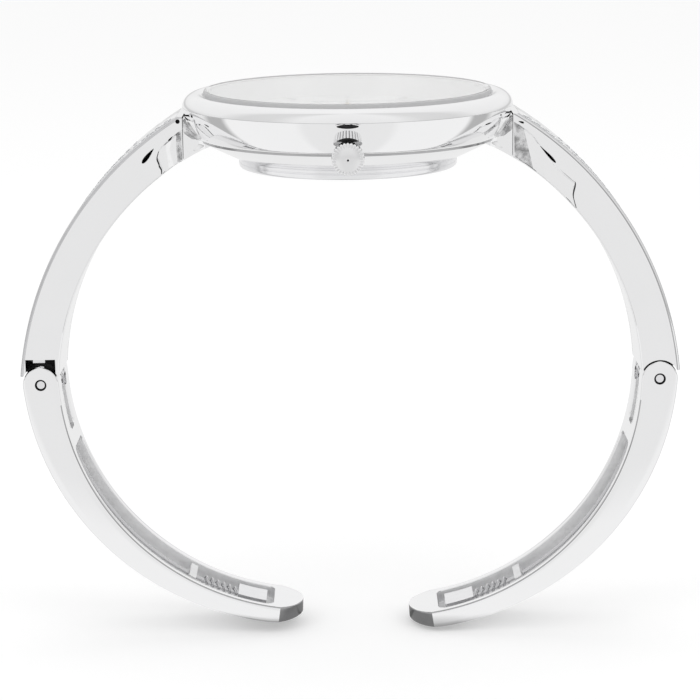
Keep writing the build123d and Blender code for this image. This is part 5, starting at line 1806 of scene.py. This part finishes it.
def make_floor():
    """The floor just under the object at rest."""
    rest()
    low = cad_box[0][2] - FLOOR_GAP * MM
    bpy.ops.mesh.primitive_plane_add(size=8, location=(0, 1, low))
    floor = started("floor")
    floor.data.materials.append(floor_material())


def make_sky(s):
    """Even light all round, white to the camera, with a soft grey belt for the steel."""
    world = bpy.context.scene.world or bpy.data.worlds.new("studio")
    bpy.context.scene.world = world
    world.use_nodes = True
    tree = world.node_tree
    tree.nodes.clear()
    out = put(tree, "ShaderNodeOutputWorld")
    path = put(tree, "ShaderNodeLightPath")
    place = put(tree, "ShaderNodeTexCoord").outputs["Generated"]
    parts = put(tree, "ShaderNodeSeparateXYZ", {"Vector": place})
    height = maths(tree, "MULTIPLY_ADD", parts.outputs["Z"], 0.5, 0.5)
    belt = put(tree, "ShaderNodeValToRGB", {"Fac": height})
    tone = put(tree, "ShaderNodeMix", data_type="RGBA", blend_type="MULTIPLY", Factor=1.0)
    tree.links.new(filled(belt, SKY_BELT), tone.inputs[FIRST_COLOUR])
    tree.links.new(panels(tree, place, SKY_PANELS), tone.inputs[SECOND_COLOUR])
    plain = put(tree, "ShaderNodeBackground", Color=(1, 1, 1, 1), Strength=s.sky)
    seen = put(tree, "ShaderNodeBackground", Color=(1, 1, 1, 1), Strength=1.0)
    glossy = put(tree, "ShaderNodeBackground", {"Color": tone.outputs[MIXED_COLOUR]},
                 Strength=1.0)
    light = mixed(tree, path.outputs["Is Glossy Ray"], plain, glossy)
    white = maths(tree, "MAXIMUM", path.outputs["Is Camera Ray"],
                  path.outputs["Is Transmission Ray"])
    tree.links.new(mixed(tree, white, light, seen).outputs[0], out.inputs["Surface"])


def make_lamps(s):
    """Two large soft lamps over the front corners and one from above."""
    for name, place, size in LAMPS:
        rest()
        bpy.ops.object.light_add(type="AREA", location=place)
        lamp = bpy.context.object
        lamp.name = name
        lamp.data.size = size
        lamp.data.energy = s.lamp
        lamp.visible_glossy = False
        lamp.rotation_euler = (-Vector(place)).to_track_quat("-Z", "Y").to_euler()


class WATCH_OT_stage(bpy.types.Operator):
    """Sets up the camera, the white floor and the soft light"""
    bl_idname = "watch.stage"
    bl_label = "Stage"

    def execute(self, context):
        s = context.scene.watch_stage
        make_camera(s)
        make_floor()
        make_sky(s)
        make_lamps(s)
        context.scene.view_settings.view_transform = "Standard"
        return {"FINISHED"}


STEPS = (WATCH_OT_solids, WATCH_OT_case, WATCH_OT_bezel, WATCH_OT_crystal, WATCH_OT_back,
         WATCH_OT_crown, WATCH_OT_dial_work, WATCH_OT_upper_arms, WATCH_OT_stones,
         WATCH_OT_lower_arms, WATCH_OT_stage)
GROUPS = (("watch_head", WatchHeadSizes), ("watch_arms", ArmSizes),
          ("watch_finish", WatchFinish), ("watch_stage", StageSettings))


class WATCH_PT_panel(bpy.types.Panel):
    """Lists the steps that dress the watch"""
    bl_idname = "WATCH_PT_panel"
    bl_label = "Bangle watch"
    bl_space_type = "VIEW_3D"
    bl_region_type = "UI"
    bl_category = "Bangle watch"

    def draw(self, context):
        for step in STEPS:
            self.layout.operator(step.bl_idname)


def register():
    for group in (entry[1] for entry in GROUPS):
        bpy.utils.register_class(group)
    for name, group in GROUPS:
        setattr(bpy.types.Scene, name, PointerProperty(type=group))
    for step in (*STEPS, WATCH_PT_panel):
        bpy.utils.register_class(step)


def unregister():
    for step in reversed((*STEPS, WATCH_PT_panel)):
        bpy.utils.unregister_class(step)
    for name, group in reversed(GROUPS):
        delattr(bpy.types.Scene, name)
        bpy.utils.unregister_class(group)


def main():
    register()
    for step in STEPS:
        family, name = step.bl_idname.split(".")
        getattr(getattr(bpy.ops, family), name)()


if __name__ == "__main__":
    main()
